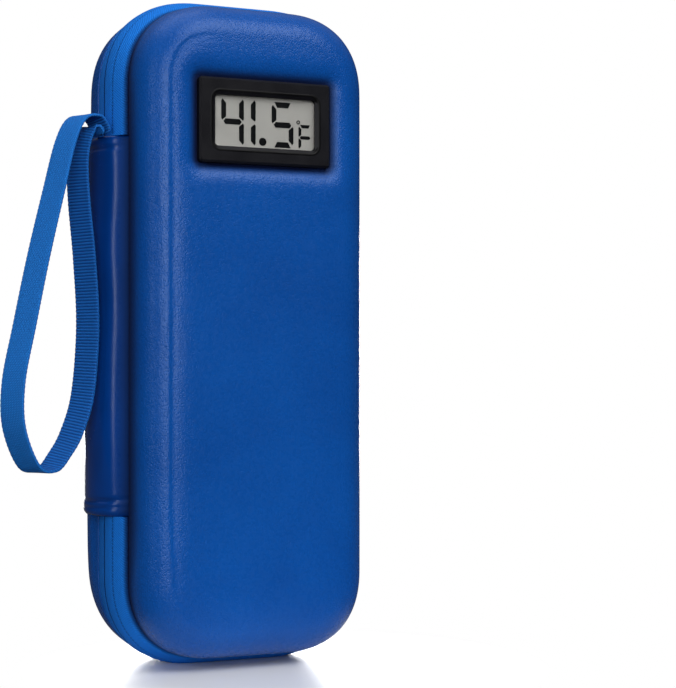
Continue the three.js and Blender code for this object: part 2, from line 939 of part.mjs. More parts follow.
function sliderPlateShape() {
  const nose = sliderNose / 2;
  const tail = sliderTail / 2;
  const end = sliderLength / 2;
  const shape = new THREE.Shape();
  shape.moveTo(tail, -end + sliderCorner);
  shape.lineTo(nose, end / 3);
  shape.lineTo(nose, end - sliderCorner);
  shape.quadraticCurveTo(nose, end, nose - sliderCorner, end);
  shape.lineTo(-nose + sliderCorner, end);
  shape.quadraticCurveTo(-nose, end, -nose, end - sliderCorner);
  shape.lineTo(-nose, end / 3);
  shape.lineTo(-tail, -end + sliderCorner);
  shape.quadraticCurveTo(-tail, -end, -tail + sliderCorner, -end);
  shape.lineTo(tail - sliderCorner, -end);
  shape.quadraticCurveTo(tail, -end, tail, -end + sliderCorner);
  return shape;
}

function sliderBody() {
  const innerTop = -(coilFoot + runningFit);
  const top = sidePlate(sliderPlateShape(), plateFoot, sliderPlate, sliderCurveSteps);
  const bottom = sidePlate(sliderPlateShape(), innerTop - sliderPlate, sliderPlate, sliderCurveSteps);
  const post = block(
    innerTop - sliderPlate / 2,
    plateFoot + sliderPlate / 2,
    -sliderPostThickness / 2,
    sliderPostThickness / 2,
    sliderLength / 2 - sliderPostLength - sliderCorner,
    sliderLength / 2 - sliderCorner,
  );
  const arch = new THREE.Shape();
  arch.moveTo(plateTop - sliderPlate / 2, -bailHalfLength);
  arch.lineTo(bailTop - bailCorner, -bailHalfLength);
  arch.quadraticCurveTo(bailTop, -bailHalfLength, bailTop, -bailHalfLength + bailCorner);
  arch.lineTo(bailTop, bailHalfLength - bailCorner);
  arch.quadraticCurveTo(bailTop, bailHalfLength, bailTop - bailCorner, bailHalfLength);
  arch.lineTo(plateTop - sliderPlate / 2, bailHalfLength);
  arch.lineTo(plateTop - sliderPlate / 2, bailHalfLength - bailBar);
  arch.lineTo(bailTop - bailBar, bailHalfLength - bailBar);
  arch.lineTo(bailTop - bailBar, -bailHalfLength + bailBar);
  arch.lineTo(plateTop - sliderPlate / 2, -bailHalfLength + bailBar);
  const bail = frontPlate(arch, -bailWidth / 2, bailWidth, sliderCurveSteps);
  return join(top, bottom, post, bail);
}

// Pull about its crossbar: hangs along -Z, thickness along X
function pullTab() {
  const half = pullWidth / 2;
  const shape = new THREE.Shape();
  shape.moveTo(half, pullCrossbar / 2);
  shape.lineTo(-half, pullCrossbar / 2);
  shape.lineTo(-half, -pullLength + half);
  shape.absarc(0, -pullLength + half, half, Math.PI, 2 * Math.PI, false);
  shape.closePath();
  const eyeHalf = bailWidth / 2 + runningFit;
  const eyeFoot = -(bailHalfLength + runningFit + pullCrossbar / 2);
  const eye = [
    [eyeHalf, -pullCrossbar / 2],
    [eyeHalf, eyeFoot],
    [-eyeHalf, eyeFoot],
    [-eyeHalf, -pullCrossbar / 2],
  ];
  shape.holes.push(new THREE.Path(eye.map(([y, z]) => new THREE.Vector2(y, z))));
  const hole = new THREE.Path();
  hole.absarc(0, -pullLength + half, pullHole / 2, 0, Math.PI * 2, true);
  shape.holes.push(hole);
  return sidePlate(shape, -pullThickness / 2, pullThickness);
}

const insulinCase = new THREE.Group();
const frame = new THREE.Group();
frame.position.y = -baseCentreDepth;
insulinCase.add(frame);

// Back half
const backHalf = new THREE.Group();
frame.add(backHalf);
addPiece(backHalf, 'back_shell', cut(dish(1, backWall, shellWall), belowFloor()), 'leather');
addPiece(backHalf, 'back_liner', dish(1, linerWall(backWall), linerThickness), 'foil');
addPiece(backHalf, 'back_binding', rimBinding(1, backWall), 'black');
addPiece(backHalf, 'back_zip_tape', zipTape(1, backWall), 'tape');
addPiece(backHalf, 'back_zip_coil', zipCoil(1, backWall), 'coil');
const pocketSewnTop = pocketTop - pocketTrimTall;
addPiece(
  backHalf,
  'back_pocket_panel',
  frontPlate(panelShape(panelInset, pocketSewnTop - fit), panelFront, pocketThickness),
  'foil',
);
const panelHalf = halfWidth - panelInset;
addPiece(
  backHalf,
  'back_pocket_trim',
  block(-panelHalf, panelHalf, panelFront, panelFront + pocketThickness, pocketSewnTop, pocketTop),
  'black',
);
addPiece(backHalf, 'pen_loop_band', penLoopBand(), 'black');
const backPackLow = outlineLow + panelInset + packSeatRise;
addPiece(backHalf, 'back_ice_pack', icePack(backPackLow, backPackFront), 'ice');

// Spine, its zipped ends and the strap
const spine = new THREE.Group();
frame.add(spine);
addPiece(spine, 'spine_cover', spineCover(), 'leather');
addPiece(spine, 'spine_lining', spineLining(), 'black');
addPiece(spine, 'upper_zip_end', zipEnd(spineHigh + fit, caseHeight - cornerRadius - fit), 'tape');
addPiece(spine, 'lower_zip_end', zipEnd(outlineLow + cornerRadius + fit, spineLow - fit), 'tape');
addPiece(spine, 'wrist_strap', wristStrap(), 'strap');

// Lid
const lid = new THREE.Group();
frame.add(lid);
addPiece(lid, 'front_shell', frontShell(), 'leather');
addPiece(lid, 'front_liner', frontLiner(), 'foil');
addPiece(lid, 'front_binding', rimBinding(-1, lidWall), 'black');
addPiece(lid, 'front_zip_tape', zipTape(-1, lidWall), 'tape');
addPiece(lid, 'front_zip_coil', zipCoil(-1, lidWall), 'coil');
addPiece(lid, 'net_pocket', netPocket(), 'black');
const netHalf = halfWidth - netInset;
addPiece(
  lid,
  'net_hem',
  block(-netHalf, netHalf, netFront, netFront + netHemThickness, netTop - netHemTall, netTop),
  'black',
);
const lidPackLow = outlineLow + netInset;
addPiece(lid, 'front_ice_pack', icePack(lidPackLow, lidPackFront), 'ice');

// Display module
const module = new THREE.Group();
module.position.x = displayOffset;
lid.add(module);
addPiece(module, 'display_bezel', displayBezel(), 'plastic');
addPiece(
  module,
  'display_lens',
  moduleBlock(windowWidth + 2 * lensBorder, windowTall + 2 * lensBorder, lensFront, lensBack),
  'lens',
);
const innerWidth = innerWall.width - 2 * fit;
const innerTall = innerWall.tall - 2 * fit;
addPiece(module, 'lcd_panel', moduleBlock(innerWidth, innerTall, lcdFront, lcdBack), 'lcd');
const stripHalf = innerWidth / 2 - stripEndMargin;
const stripTop = displayHeight + innerTall / 2;
const stripFoot = displayHeight - innerTall / 2;
addPiece(
  module,
  'upper_contact_strip',
  block(-stripHalf, stripHalf, stripFront, stripBack, stripTop - stripTall, stripTop),
  'rubber',
);
addPiece(
  module,
  'lower_contact_strip',
  block(-stripHalf, stripHalf, stripFront, stripBack, stripFoot, stripFoot + stripTall),
  'rubber',
);
addPiece(module, 'circuit_board', moduleBlock(innerWidth, innerTall, boardFront, boardBack), 'board');
addPiece(module, 'module_case', moduleCase(), 'plastic');
const cellStart = coverLeft + cellDiameter / 2;
['left', 'right'].forEach((name, place) => {
  const radius = cellDiameter / 2;
  const profile = [
    [0, cellFront],
    [radius * 0.75, cellFront],
    [radius * 0.8, cellFront + cellThickness / 6],
    [radius, cellFront + cellThickness / 6],
    [radius, cellBack],
    [0, cellBack],
  ];
  const x = cellStart + place * (cellDiameter + fit);
  addPiece(module, `${name}_button_cell`, turned(profile, x, displayHeight), 'steel');
});
addPiece(module, 'battery_cover', batteryCover(), 'plastic');
const button = turned(flangedStem(buttonBase), -buttonOffset, buttonZ, stemSides);
addPiece(module, 'unit_button', button, 'plastic');
addPiece(module, 'unit_switch', unitSwitch(), 'plastic');
const sensor = turned(flangedStem(boardBack + fit), -buttonOffset, sensorZ, stemSides);
addPiece(module, 'sensor_bead', sensor, 'steel');
addPiece(module, 'left_spring_clip', springClip(-1), 'steel');
addPiece(module, 'right_spring_clip', springClip(1), 'steel');

// Sliders meet nose to nose half-way up the opening side; their pulls hang down
const sliderStep = (sliderLength + sliderGap) / 2;
['upper', 'lower'].forEach((name, place) => {
  const slider = new THREE.Group();
  slider.position.set(halfWidth, 0, sliderMeeting + (place === 0 ? sliderStep : -sliderStep));
  frame.add(slider);
  const body = addPiece(slider, `${name}_slider`, sliderBody(), 'steel');
  body.rotation.x = place === 0 ? Math.PI : 0;
  const pull = addPiece(slider, `${name}_pull`, pullTab(), 'steel');
  pull.position.x = pullAxis;
});

export default insulinCase;
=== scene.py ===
import math
import bpy
import bmesh
import numpy as np
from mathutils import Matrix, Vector
from mathutils.geometry import delaunay_2d_cdt


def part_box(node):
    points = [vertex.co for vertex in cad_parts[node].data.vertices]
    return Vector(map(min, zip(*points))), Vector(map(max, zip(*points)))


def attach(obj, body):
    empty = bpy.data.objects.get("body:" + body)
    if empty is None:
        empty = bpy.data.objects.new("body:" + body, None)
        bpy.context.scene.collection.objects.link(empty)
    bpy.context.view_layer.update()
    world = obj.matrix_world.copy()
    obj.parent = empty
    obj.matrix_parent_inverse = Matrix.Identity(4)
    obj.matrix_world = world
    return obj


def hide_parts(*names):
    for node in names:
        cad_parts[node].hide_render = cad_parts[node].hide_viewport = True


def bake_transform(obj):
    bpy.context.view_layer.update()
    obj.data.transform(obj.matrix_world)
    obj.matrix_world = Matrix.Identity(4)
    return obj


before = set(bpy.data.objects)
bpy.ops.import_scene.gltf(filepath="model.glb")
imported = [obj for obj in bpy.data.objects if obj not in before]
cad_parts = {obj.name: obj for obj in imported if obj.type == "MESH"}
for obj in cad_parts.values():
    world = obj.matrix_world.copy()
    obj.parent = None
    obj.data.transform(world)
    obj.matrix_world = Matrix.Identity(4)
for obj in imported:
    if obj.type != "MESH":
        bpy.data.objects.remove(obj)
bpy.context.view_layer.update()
scene = bpy.context.scene
mm = 0.001
fullTurn = 2 * math.pi


def boxOf(node):
    low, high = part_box(node)
    return np.array(low) / mm, np.array(high) / mm


def linear(code):
    parts = [int(code[i:i + 2], 16) / 255 for i in (0, 2, 4)]
    return (*[c / 12.92 if c < 0.04045 else ((c + 0.055) / 1.055) ** 2.4 for c in parts], 1)


def toned(code, gain, lift=0.0):
    return (*[min(part * gain + lift, 1) for part in linear(code)[:3]], 1)


def ease(low, high, value):
    share = np.clip((value - low) / (high - low), 0, 1)
    return share * share * (3 - 2 * share)


def bump(centre, spread, value):
    return np.exp(-((value - centre) / spread) ** 2)


def unit(vectors):
    return vectors / np.linalg.norm(vectors, axis=1)[:, None]


def circle(angle):
    return np.stack([np.cos(angle), np.sin(angle)], -1)


def sampled(at, travel, values):
    return np.stack([np.interp(at, travel, column) for column in values.T], 1)


def travelAlong(line):
    return np.concatenate([[0], np.cumsum(np.linalg.norm(np.diff(line, axis=0), axis=1))])


def ripples(u, v, wavelength, seed, count=7):
    rng = np.random.default_rng(seed)
    total = np.zeros(np.broadcast(u, v).shape)
    for turn, phase, stretch in rng.uniform((0, 0, 0.6), (math.pi, fullTurn, 1.5), (count, 3)):
        waveNumber = fullTurn / (wavelength * stretch)
        total = total + np.sin(waveNumber * (u * math.cos(turn) + v * math.sin(turn)) + phase)
    return total / count


# shader nodes


class Socket:
    def __init__(self, nodes, out):
        self.nodes = nodes
        self.out = out


def operator(kind, turned):
    def apply(self, other):
        return self.nodes.math(kind, *((other, self) if turned else (self, other)))

    return apply


operators = {"add": "ADD", "sub": "SUBTRACT", "mul": "MULTIPLY", "truediv": "DIVIDE", "pow": "POWER"}
for sign, kind in operators.items():
    setattr(Socket, f"__{sign}__", operator(kind, False))
    setattr(Socket, f"__r{sign}__", operator(kind, True))


class NodeTree:
    def __init__(self, tree):
        self.tree = tree

    def feed(self, socket, value):
        if isinstance(value, Socket):
            self.tree.links.new(value.out, socket)
        else:
            socket.default_value = linear(value) if isinstance(value, str) else value

    def node(self, kind, settings=None, values=None, out=0):
        made = self.tree.nodes.new("ShaderNode" + kind)
        for key, value in (settings or {}).items():
            setattr(made, key, value)
        for key, value in (values or {}).items():
            self.feed(made.inputs[key], value)
        return Socket(self, made.outputs[out])

    def math(self, operation, *terms):
        return self.node("Math", {"operation": operation}, dict(enumerate(terms)))

    def ramp(self, value, low, high, lowTo=0.0, highTo=1.0):
        values = {"Value": value, 1: low, 2: high, 3: lowTo, 4: highTo}
        return self.node("MapRange", {"interpolation_type": "SMOOTHSTEP"}, values)

    def mix(self, factor, first, second):
        return self.node("Mix", {"data_type": "RGBA"}, {"Factor": factor, 6: first, 7: second}, 2)


class Paint(NodeTree):
    def __init__(self, name, **fixed):
        self.material = bpy.data.materials.new(name)
        self.material.use_nodes = True
        super().__init__(self.material.node_tree)
        self.shader = self.tree.nodes["Principled BSDF"]
        for key, value in fixed.items():
            self.feed(self.shader.inputs[key.replace("_", " ")], value)

    def place(self):
        return self.node("TexCoord", out="Object")

    def flow(self):
        attribute = self.node("Attribute", {"attribute_name": "flow"}, out="Vector")
        split = self.node("SeparateXYZ", None, {0: attribute})
        return [Socket(self, out) for out in split.out.node.outputs]

    def noise(self, scale, detail=3.0, rough=0.5, place=None):
        values = {"Vector": place or self.place(), "Scale": scale, "Detail": detail, "Roughness": rough}
        return self.node("TexNoise", None, values)

    def cells(self, scale, feature="F1"):
        values = {"Vector": self.place(), "Scale": scale}
        return self.node("TexVoronoi", {"feature": feature}, values, "Distance")

    def wave(self, value, pitch):
        return self.math("SINE", value * (fullTurn / pitch)) * 0.5 + 0.5

    def worn(self, pattern, low, high, first, second):
        return self.mix(self.ramp(pattern, low, high), first, second)

    def colour(self, value):
        self.feed(self.shader.inputs["Base Color"], value)

    def rough(self, pattern, low, high, full=0.7, more=None):
        value = self.ramp(pattern, 0.3, full, low, high)
        self.feed(self.shader.inputs["Roughness"], value + more if more else value)

    def relief(self, height, distance):
        bumped = self.node("Bump", None, {"Height": height, "Distance": distance * mm, "Strength": 1.0})
        self.feed(self.shader.inputs["Normal"], bumped)
        return self


def leatherPaint(name, base, shade, dark, tint, grain, roughness, gloss, coat=0.0):
    paint = Paint(name, Coat_Roughness=0.2, Specular_IOR_Level=gloss, Specular_Tint=tint)
    _, _, paintedShade = paint.flow()
    if coat:
        paint.feed(paint.shader.inputs["Coat Weight"], paint.ramp(paintedShade, 0.1, 0.9, coat, 0.0))
    mottle = paint.noise(26, 3, 0.55)
    pores = paint.ramp(paint.cells(1500), 0.05, 0.65)
    folds = paint.noise(620, 4, 0.6)
    upright = paint.node("VectorMath", {"operation": "MULTIPLY"}, {0: paint.place(), 1: (1, 1, 0.2)})
    streaks = paint.noise(430, 3, 0.6, upright)
    skin = paint.worn(mottle, 0.3, 0.7, base, shade)
    # painted shade: where the flow's third value is high the leather darkens towards the dark colour, loses
    # its coat and gets rougher
    paint.colour(paint.mix(paintedShade, skin, dark))
    paint.rough(folds, roughness - 0.05, roughness + 0.08, 0.75, paintedShade * 0.5)
    return paint.relief(pores * 0.4 + folds * 0.8 + streaks, grain)


def wovenPaint(name, base, shade, pitch, height, roughness):
    paint = Paint(name, Specular_IOR_Level=0.2)
    across, along, _ = paint.flow()
    warp = paint.wave(across, pitch)
    weft = paint.wave(along, pitch)
    over = paint.math("MAXIMUM", warp * (1 - weft), weft * (1 - warp))
    fuzz = paint.noise(900, 3)
    paint.colour(paint.worn(over + fuzz * 0.5, 0.2, 1.1, shade, base))
    paint.rough(fuzz, roughness - 0.08, roughness + 0.1)
    return paint.relief(over + fuzz * 0.4, height)


def tapePaint(name, base, shade, dark, pitch, height, stitch):
    paint = Paint(name, Specular_IOR_Level=0.08)
    across, along, paintedShade = paint.flow()
    weave = paint.wave(along + across * 0.8, pitch) * 0.7
    fuzz = paint.noise(900, 3)
    begun = paint.ramp(across, stitch["from"], stitch["from"] + 0.4)
    row = begun * (1 - paint.ramp(across, stitch["to"] - 0.5, stitch["to"]))
    thread = paint.ramp(paint.wave(along, stitch["pitch"]), 0.35, 0.75) * row * 0.4
    cloth = paint.worn(weave + fuzz * 0.6, 0.2, 1.0, shade, base)
    cloth = paint.mix(row * (1 - thread * 2) * 0.6, cloth, dark)
    # painted shade: the flow's third value darkens the tape in the zip lane and in the crevice under the
    # shell rim
    paint.colour(paint.mix(paintedShade, cloth, dark))
    paint.rough(fuzz, 0.68, 0.85)
    return paint.relief(weave + fuzz * 0.4 + thread * 2.5, height)


def ribbedPaint(name, base, shade, deep, pitch, height):
    paint = Paint(name, Specular_IOR_Level=0.2)
    across, along, side = paint.flow()
    rib = paint.wave(along, pitch) ** 0.7
    twill = paint.wave(along + across, pitch * 0.75) * paint.wave(across * 1.2, pitch * 0.8)
    cloth = paint.node("Mix", {"data_type": "FLOAT"}, {"Factor": side, 2: twill, 3: rib})
    fuzz = paint.noise(1100, 3)
    outer = paint.worn(cloth + fuzz * 0.6, 0.15, 1.15, shade, base)
    # the inner face is darker: partly the ribbed weave, partly painted shade
    inner = paint.worn(cloth + fuzz * 0.4, 0.1, 1.1, deep, shade)
    paint.colour(paint.mix(side, outer, inner))
    paint.rough(fuzz, 0.63, 0.78)
    return paint.relief(cloth + fuzz * 0.3, height)


def plasticPaint(name, base, roughness, grain=0.0, scale=1800, **fixed):
    paint = Paint(name, Coat_Roughness=0.15, **fixed)
    cloud = paint.noise(90, 3)
    paint.colour(paint.worn(cloud, 0.35, 0.8, base, toned(base, 1.12, 0.002)))
    paint.rough(cloud, roughness - 0.05, roughness + 0.07)
    return paint.relief(paint.noise(scale, 2), grain) if grain else paint


def metalPaint(name, base, roughness, metallic=1.0):
    paint = Paint(name, Metallic=metallic)
    scratch = paint.noise(1400, 4, 0.7)
    paint.colour(paint.worn(paint.noise(160, 2), 0.3, 0.75, base, toned(base, 0.82)))
    paint.rough(scratch, roughness - 0.05, roughness + 0.1, 0.75)
    return paint.relief(scratch, 0.01)


def foilPaint(name, base, roughness):
    paint = Paint(name, Metallic=1.0)
    creases = paint.cells(190, "DISTANCE_TO_EDGE")
    crumple = paint.noise(140, 5, 0.65)
    paint.colour(paint.worn(crumple, 0.35, 0.7, base, toned(base, 0.8)))
    paint.rough(crumple, roughness - 0.05, roughness + 0.12, 0.75)
    return paint.relief(paint.ramp(creases, 0.0, 0.25) + crumple * 1.6, 0.22)


leather = leatherPaint(
    "leather", "084c9d", "074694", dark="010b34", tint="c8dfff", grain=0.12, roughness=0.28, gloss=0.34,
)
spineLeather = leatherPaint(
    "spineLeather", "033b89", "03347b", dark="010b34", tint="a0ccff", grain=0.03, roughness=0.2, gloss=0.16,
    coat=0.45,
)
tapeCloth = tapePaint(
    "tapeCloth", "1b78dc", "1262bd", dark="020e38", pitch=0.85, height=0.1,
    stitch={"from": 5.8, "to": 6.8, "pitch": 1.3},
)
strapCloth = ribbedPaint("strapCloth", "1879d2", "0f60b3", deep="093c7f", pitch=1.05, height=0.16)
coilPlastic = plasticPaint("coilPlastic", "3f7fd0", 0.35)
blackCloth = wovenPaint("blackCloth", "1b1b1d", "0a0a0b", pitch=0.6, height=0.1, roughness=0.82)
blackElastic = wovenPaint("blackElastic", "202022", "0b0b0c", pitch=0.9, height=0.14, roughness=0.78)
blackPlastic = plasticPaint("blackPlastic", "0a0a10", 0.46, grain=0.03, Specular_IOR_Level=0.17)
silverFoil = foilPaint("silverFoil", "eef0f2", 0.3)
nickel = metalPaint("nickel", "e2e4e6", 0.32, metallic=0.4)
steel = metalPaint("steel", "b9bcc0", 0.28)
icePlastic = plasticPaint("icePlastic", "0a68d8", 0.3, grain=0.02, scale=700, Coat_Weight=0.35)
whitePrint = plasticPaint("whitePrint", "e8edf4", 0.45)
boardGreen = plasticPaint("boardGreen", "14502c", 0.45, grain=0.02)
contactRubber = plasticPaint("contactRubber", "8f8d90", 0.7, grain=0.03)
lcdGlass = plasticPaint("lcdGlass", "b0afaa", 0.35)
lcdInk = plasticPaint("lcdInk", "040405", 0.5, Specular_IOR_Level=0.1)
glossBlack = plasticPaint("glossBlack", "040406", 0.42, Specular_IOR_Level=0.14)
keyRubber = plasticPaint("keyRubber", "c9ccd0", 0.6, grain=0.02)
lensClear = plasticPaint("lensClear", "20262a", 0.06, Alpha=0.06)
print("materials made")

# mesh helpers


def gridFaces(rows, columns, wrapped=False, closed=False):
    index = np.arange(rows * columns).reshape(rows, columns)
    if wrapped:
        index = np.hstack([index, index[:, :1]])
    if closed:
        index = np.vstack([index, index[:1]])
    corners = [index[:-1, :-1], index[:-1, 1:], index[1:, 1:], index[1:, :-1]]
    return np.stack(corners, -1).reshape(-1, 4).tolist()


def tubeFaces(rows, columns):
    last = rows * columns
    return gridFaces(rows, columns, True) + [list(range(columns)), list(range(last - columns, last))]


def makePiece(
    name, points, faces, paint, body=None, nodes=(), flow=None, outward=None, flat=False, wall=0.0,
):
    mesh = bpy.data.meshes.new(name)
    mesh.from_pydata((np.reshape(points, (-1, 3)) * mm).tolist(), [], faces)
    shape = bmesh.new()
    shape.from_mesh(mesh)
    bmesh.ops.recalc_face_normals(shape, faces=shape.faces)
    if outward is not None:
        heart = Vector(outward) * mm
        trend = sum(f.normal.dot(f.calc_center_median() - heart) * f.calc_area() for f in shape.faces)
        if trend < 0:
            bmesh.ops.reverse_faces(shape, faces=shape.faces)
    for edge in shape.edges:
        edge.smooth = not edge.is_boundary
    shape.to_mesh(mesh)
    shape.free()
    if flow is not None:
        layer = mesh.attributes.new("flow", "FLOAT_VECTOR", "POINT")
        layer.data.foreach_set("vector", np.asarray(flow, np.float32).ravel())
    mesh.polygons.foreach_set("use_smooth", [not flat] * len(mesh.polygons))
    mesh.materials.append(paint.material)
    piece = bpy.data.objects.new(name, mesh)
    scene.collection.objects.link(piece)
    if wall:
        modifier = piece.modifiers.new("thickness", "SOLIDIFY")
        modifier.thickness = wall * mm
        modifier.offset = -1
    if nodes:
        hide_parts(*nodes)
    if body:
        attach(piece, body)
    return piece


def dress(node, paint, width=0.0, segments=2):
    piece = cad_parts[node]
    piece.data.materials.clear()
    piece.data.materials.append(paint.material)
    if width:
        modifier = piece.modifiers.new("edges", "BEVEL")
        modifier.width = width * mm
        modifier.segments = segments
        modifier.limit_method = "ANGLE"
        modifier.angle_limit = math.radians(35)
        modifier.harden_normals = True


def tube(route, radius, sides):
    ahead = unit(np.gradient(route, axis=0))
    hint = np.where(np.abs(ahead[:, 1:2]) > 0.9, [[1.0, 0, 0]], [[0, 1.0, 0]])
    first = unit(np.cross(ahead, hint))
    second = np.cross(ahead, first)
    turn = fullTurn * np.arange(sides) / sides
    ring = np.cos(turn)[:, None] * first[:, None] + np.sin(turn)[:, None] * second[:, None]
    return (route[:, None] + radius * ring).reshape(-1, 3), tubeFaces(len(route), sides)


def prism(outline, y0, y1):
    count = len(outline)
    points = [(x, y, z) for y in (y0, y1) for x, z in outline]
    faces = [list(range(count)), list(range(count, 2 * count))]
    faces += [[i, (i + 1) % count, (i + 1) % count + count, i + count] for i in range(count)]
    return points, faces


def gather(parts):
    points = []
    faces = []
    for partPoints, partFaces in parts:
        start = sum(len(p) for p in points)
        points.append(np.asarray(partPoints, float))
        faces += [[corner + start for corner in face] for face in partFaces]
    return np.concatenate(points), faces


def fill(boundary, extra, base=0):
    flat = [Vector(p) for p in np.concatenate([boundary, extra])]
    count = len(boundary)
    edges = [(i, (i + 1) % count) for i in range(count)]
    result = delaunay_2d_cdt(flat, edges, [], 1, 1e-5)
    source = [base + origin[0] for origin in result[3]]
    return [[source[corner] for corner in face] for face in result[2]]


def atDepth(flat, y):
    return np.stack([flat[:, 0], np.broadcast_to(y, len(flat)), flat[:, 1]], 1)


def capped(rings, extra, y):
    rows, count, _ = rings.shape
    cap = fill(rings[-1][:, [0, 2]], extra, (rows - 1) * count)
    return np.concatenate([rings.reshape(-1, 3), atDepth(extra, y)]), gridFaces(rows, count, True), cap


def kept(points, faces, test):
    centres = points[np.array(faces)].mean(1)[:, [0, 2]]
    return [face for face, keep in zip(faces, test(centres)) if keep]


def roundedCorners(centre, half, radius, steps):
    arcs = []
    for quarter, signs in enumerate(((1, 1), (-1, 1), (-1, -1), (1, -1))):
        angle = (quarter + np.linspace(0, 1, steps)) * math.pi / 2
        arcs.append(centre + half * signs + radius * circle(angle))
    return arcs


# the case outline, shared by every piece that follows it

case = {"corner": 32.5, "fullness": 2.3, "sink": 0.8}
backTape = boxOf("back_zip_tape")
zipY = (boxOf("front_zip_tape")[1][1] + backTape[0][1]) / 2
halfWidth, _, caseTop = backTape[1]
cornerLow = case["corner"] - case["sink"]
cornerHigh = caseTop - case["corner"]
cornerSide = halfWidth - case["corner"]
middle = (0, zipY, caseTop / 2)
halves = {-1: ("front", "lid", "Lid"), 1: ("back", "back_half", "Back")}  # by the side of the zip


def depthsOf(node, side):  # the nearer and the farther face, measured from the zip
    return [abs(corner[1] - zipY) for corner in boxOf(node)][::side]


def insetOf(node):
    return halfWidth - boxOf(node)[1][0]


def outlinePath(gap, cornerSteps):
    anchors = []
    ways = []

    def straight(start, end, way):
        count = max(int(math.dist(start, end) / gap), 1)
        share = np.arange(count)[:, None] / count
        anchors.append(np.array(start) + share * (np.array(end) - start))
        ways.append(np.tile(way, (count, 1)))

    def corner(centre, start):
        angle = start - np.arange(cornerSteps) / cornerSteps * math.pi / 2
        way = circle(angle)
        anchors.append(np.tile(centre, (cornerSteps, 1)))
        ways.append(np.sign(way) * np.abs(way) ** (2 / case["fullness"]))

    side, low, high = cornerSide, cornerLow, cornerHigh
    spots = [(-side, high), (side, high), (side, low), (-side, low), (-side, (low + high) / 2)]
    straight(spots[-1], spots[0], (-1, 0))
    begin = len(anchors[0])
    for number, way in enumerate(((0, 1), (1, 0), (0, -1), (-1, 0))):
        corner(spots[number], math.pi * (1 - number / 2))
        end = sum(len(a) for a in anchors)
        straight(spots[number], spots[number + 1], way)
    return {"anchor": np.concatenate(anchors), "way": np.concatenate(ways), "zip": (begin, end + 1)}


def zipPath(gap, cornerSteps):  # the outline without the side that the spine covers
    path = outlinePath(gap, cornerSteps)
    begin, end = path["zip"]
    return {"anchor": path["anchor"][begin:end], "way": path["way"][begin:end]}


def ringOf(path, inset, depth, side):
    spot = path["anchor"] + (case["corner"] - np.reshape(inset, (-1, 1))) * path["way"]
    y = np.full(len(spot), zipY) + side * np.asarray(depth)
    return np.stack([spot[:, 0], y, np.maximum(spot[:, 1], 0)], 1)


def travelOf(path):
    return travelAlong(path["anchor"] + case["corner"] * path["way"])


def lattice(pitch, jitter=0.0, seed=0):  # staggered points over the whole face
    rng = np.random.default_rng(seed)
    rows = []
    for row, z in enumerate(np.arange(0, caseTop, pitch * 0.87)):
        x = np.arange(-halfWidth + (row % 2) * pitch / 2, halfWidth, pitch)
        rows.append(np.stack([x, np.full(len(x), z)], 1))
    points = np.concatenate(rows)
    return points + rng.uniform(-jitter, jitter, points.shape)


def insideOutline(points, inset):
    side = np.maximum(np.abs(points[:, 0]) - cornerSide, 0)
    up = np.maximum(np.maximum(points[:, 1] - cornerHigh, cornerLow - points[:, 1]), 0)
    full = case["fullness"]
    return side ** full + up ** full < (case["corner"] - inset) ** full


# moulded shells

bezelBox = boxOf("display_bezel")
bezelSpot = (bezelBox[0] + bezelBox[1])[[0, 2]] / 2
bezelHalf = (bezelBox[1] - bezelBox[0])[[0, 2]] / 2
recess = {
    # the shade pair: painted shade round the bezel, none beyond the first distance, full within the second
    "depth": 2.8, "reach": 9.4, "start": 0.35, "power": 2.9, "corner": 1.2, "shade": (3.8, 0.4),
    "under": -0.4, "rings": (0.0, 0.35, 0.7, 1.1, 1.5, 2.0, 2.5, 3.1, 3.8, 4.6, 5.6, 6.8, 8.0, 9.4),
    "gap": 1.6, "arcSteps": 9, "apart": 1.2, "inside": 0.4,
}


def bezelDistance(flat):
    beyond = np.abs(flat - bezelSpot) - bezelHalf + recess["corner"]
    return np.hypot(*np.maximum(beyond, 0).T) + np.minimum(beyond.max(1), 0) - recess["corner"]


def bezelRing(distance):
    half = bezelHalf - recess["corner"]
    arcs = roundedCorners(bezelSpot, half, recess["corner"] + distance, recess["arcSteps"])
    points = []
    for arc, after in zip(arcs, arcs[1:] + arcs[:1]):
        count = max(int(math.dist(arc[-1], after[0]) / recess["gap"]), 2)
        points += [arc, arc[-1] + np.linspace(0, 1, count + 1)[1:-1, None] * (after[0] - arc[-1])]
    return np.concatenate(points)


def wallProfile(rimInset, rimDepth, faceDepth, shell):
    roll = shell["roll"]
    curve = shell["round"]
    shoulder = faceDepth - shell["crown"]
    profile = [(rimInset + inward * roll, rimDepth + rise * roll) for inward, rise in shell["lip"]]
    for angle in np.radians(shell["rollTurns"]):
        profile.append((rimInset + roll * (1 - math.cos(angle)), rimDepth + roll * (1 - math.sin(angle))))
    foot = rimDepth + roll
    for share in np.linspace(0, 1, shell["sideSteps"])[:-1]:
        profile.append((rimInset + share * shell["draft"], foot + share * (shoulder - curve - foot)))
    for angle in np.radians(np.linspace(0, shell["line"], shell["roundSteps"])):
        inward, rise = curve * (1 - math.cos(angle)), curve * (1 - math.sin(angle))
        profile.append((rimInset + shell["draft"] + inward, shoulder - rise))
    inset, depth = profile[-1]
    wide, lift = shell["ledge"]
    for share in (0.25, 0.5, 0.75, 1.0):
        profile.append((inset + share * wide, depth + share * lift))
    inset, depth = profile[-1]
    for share in np.linspace(0, 1, shell["panelSteps"])[1:]:
        rise = 1 - (1 - share) ** shell["pillow"]
        profile.append((inset + share * (shell["faceInset"] - inset), depth + rise * (faceDepth - depth)))
    return np.array(profile)


bow = {"height": 80, "spread": 95, "foot": (4, 40)}


def bellyAt(z):
    return bump(bow["height"], bow["spread"], z) * ease(*bow["foot"], z)


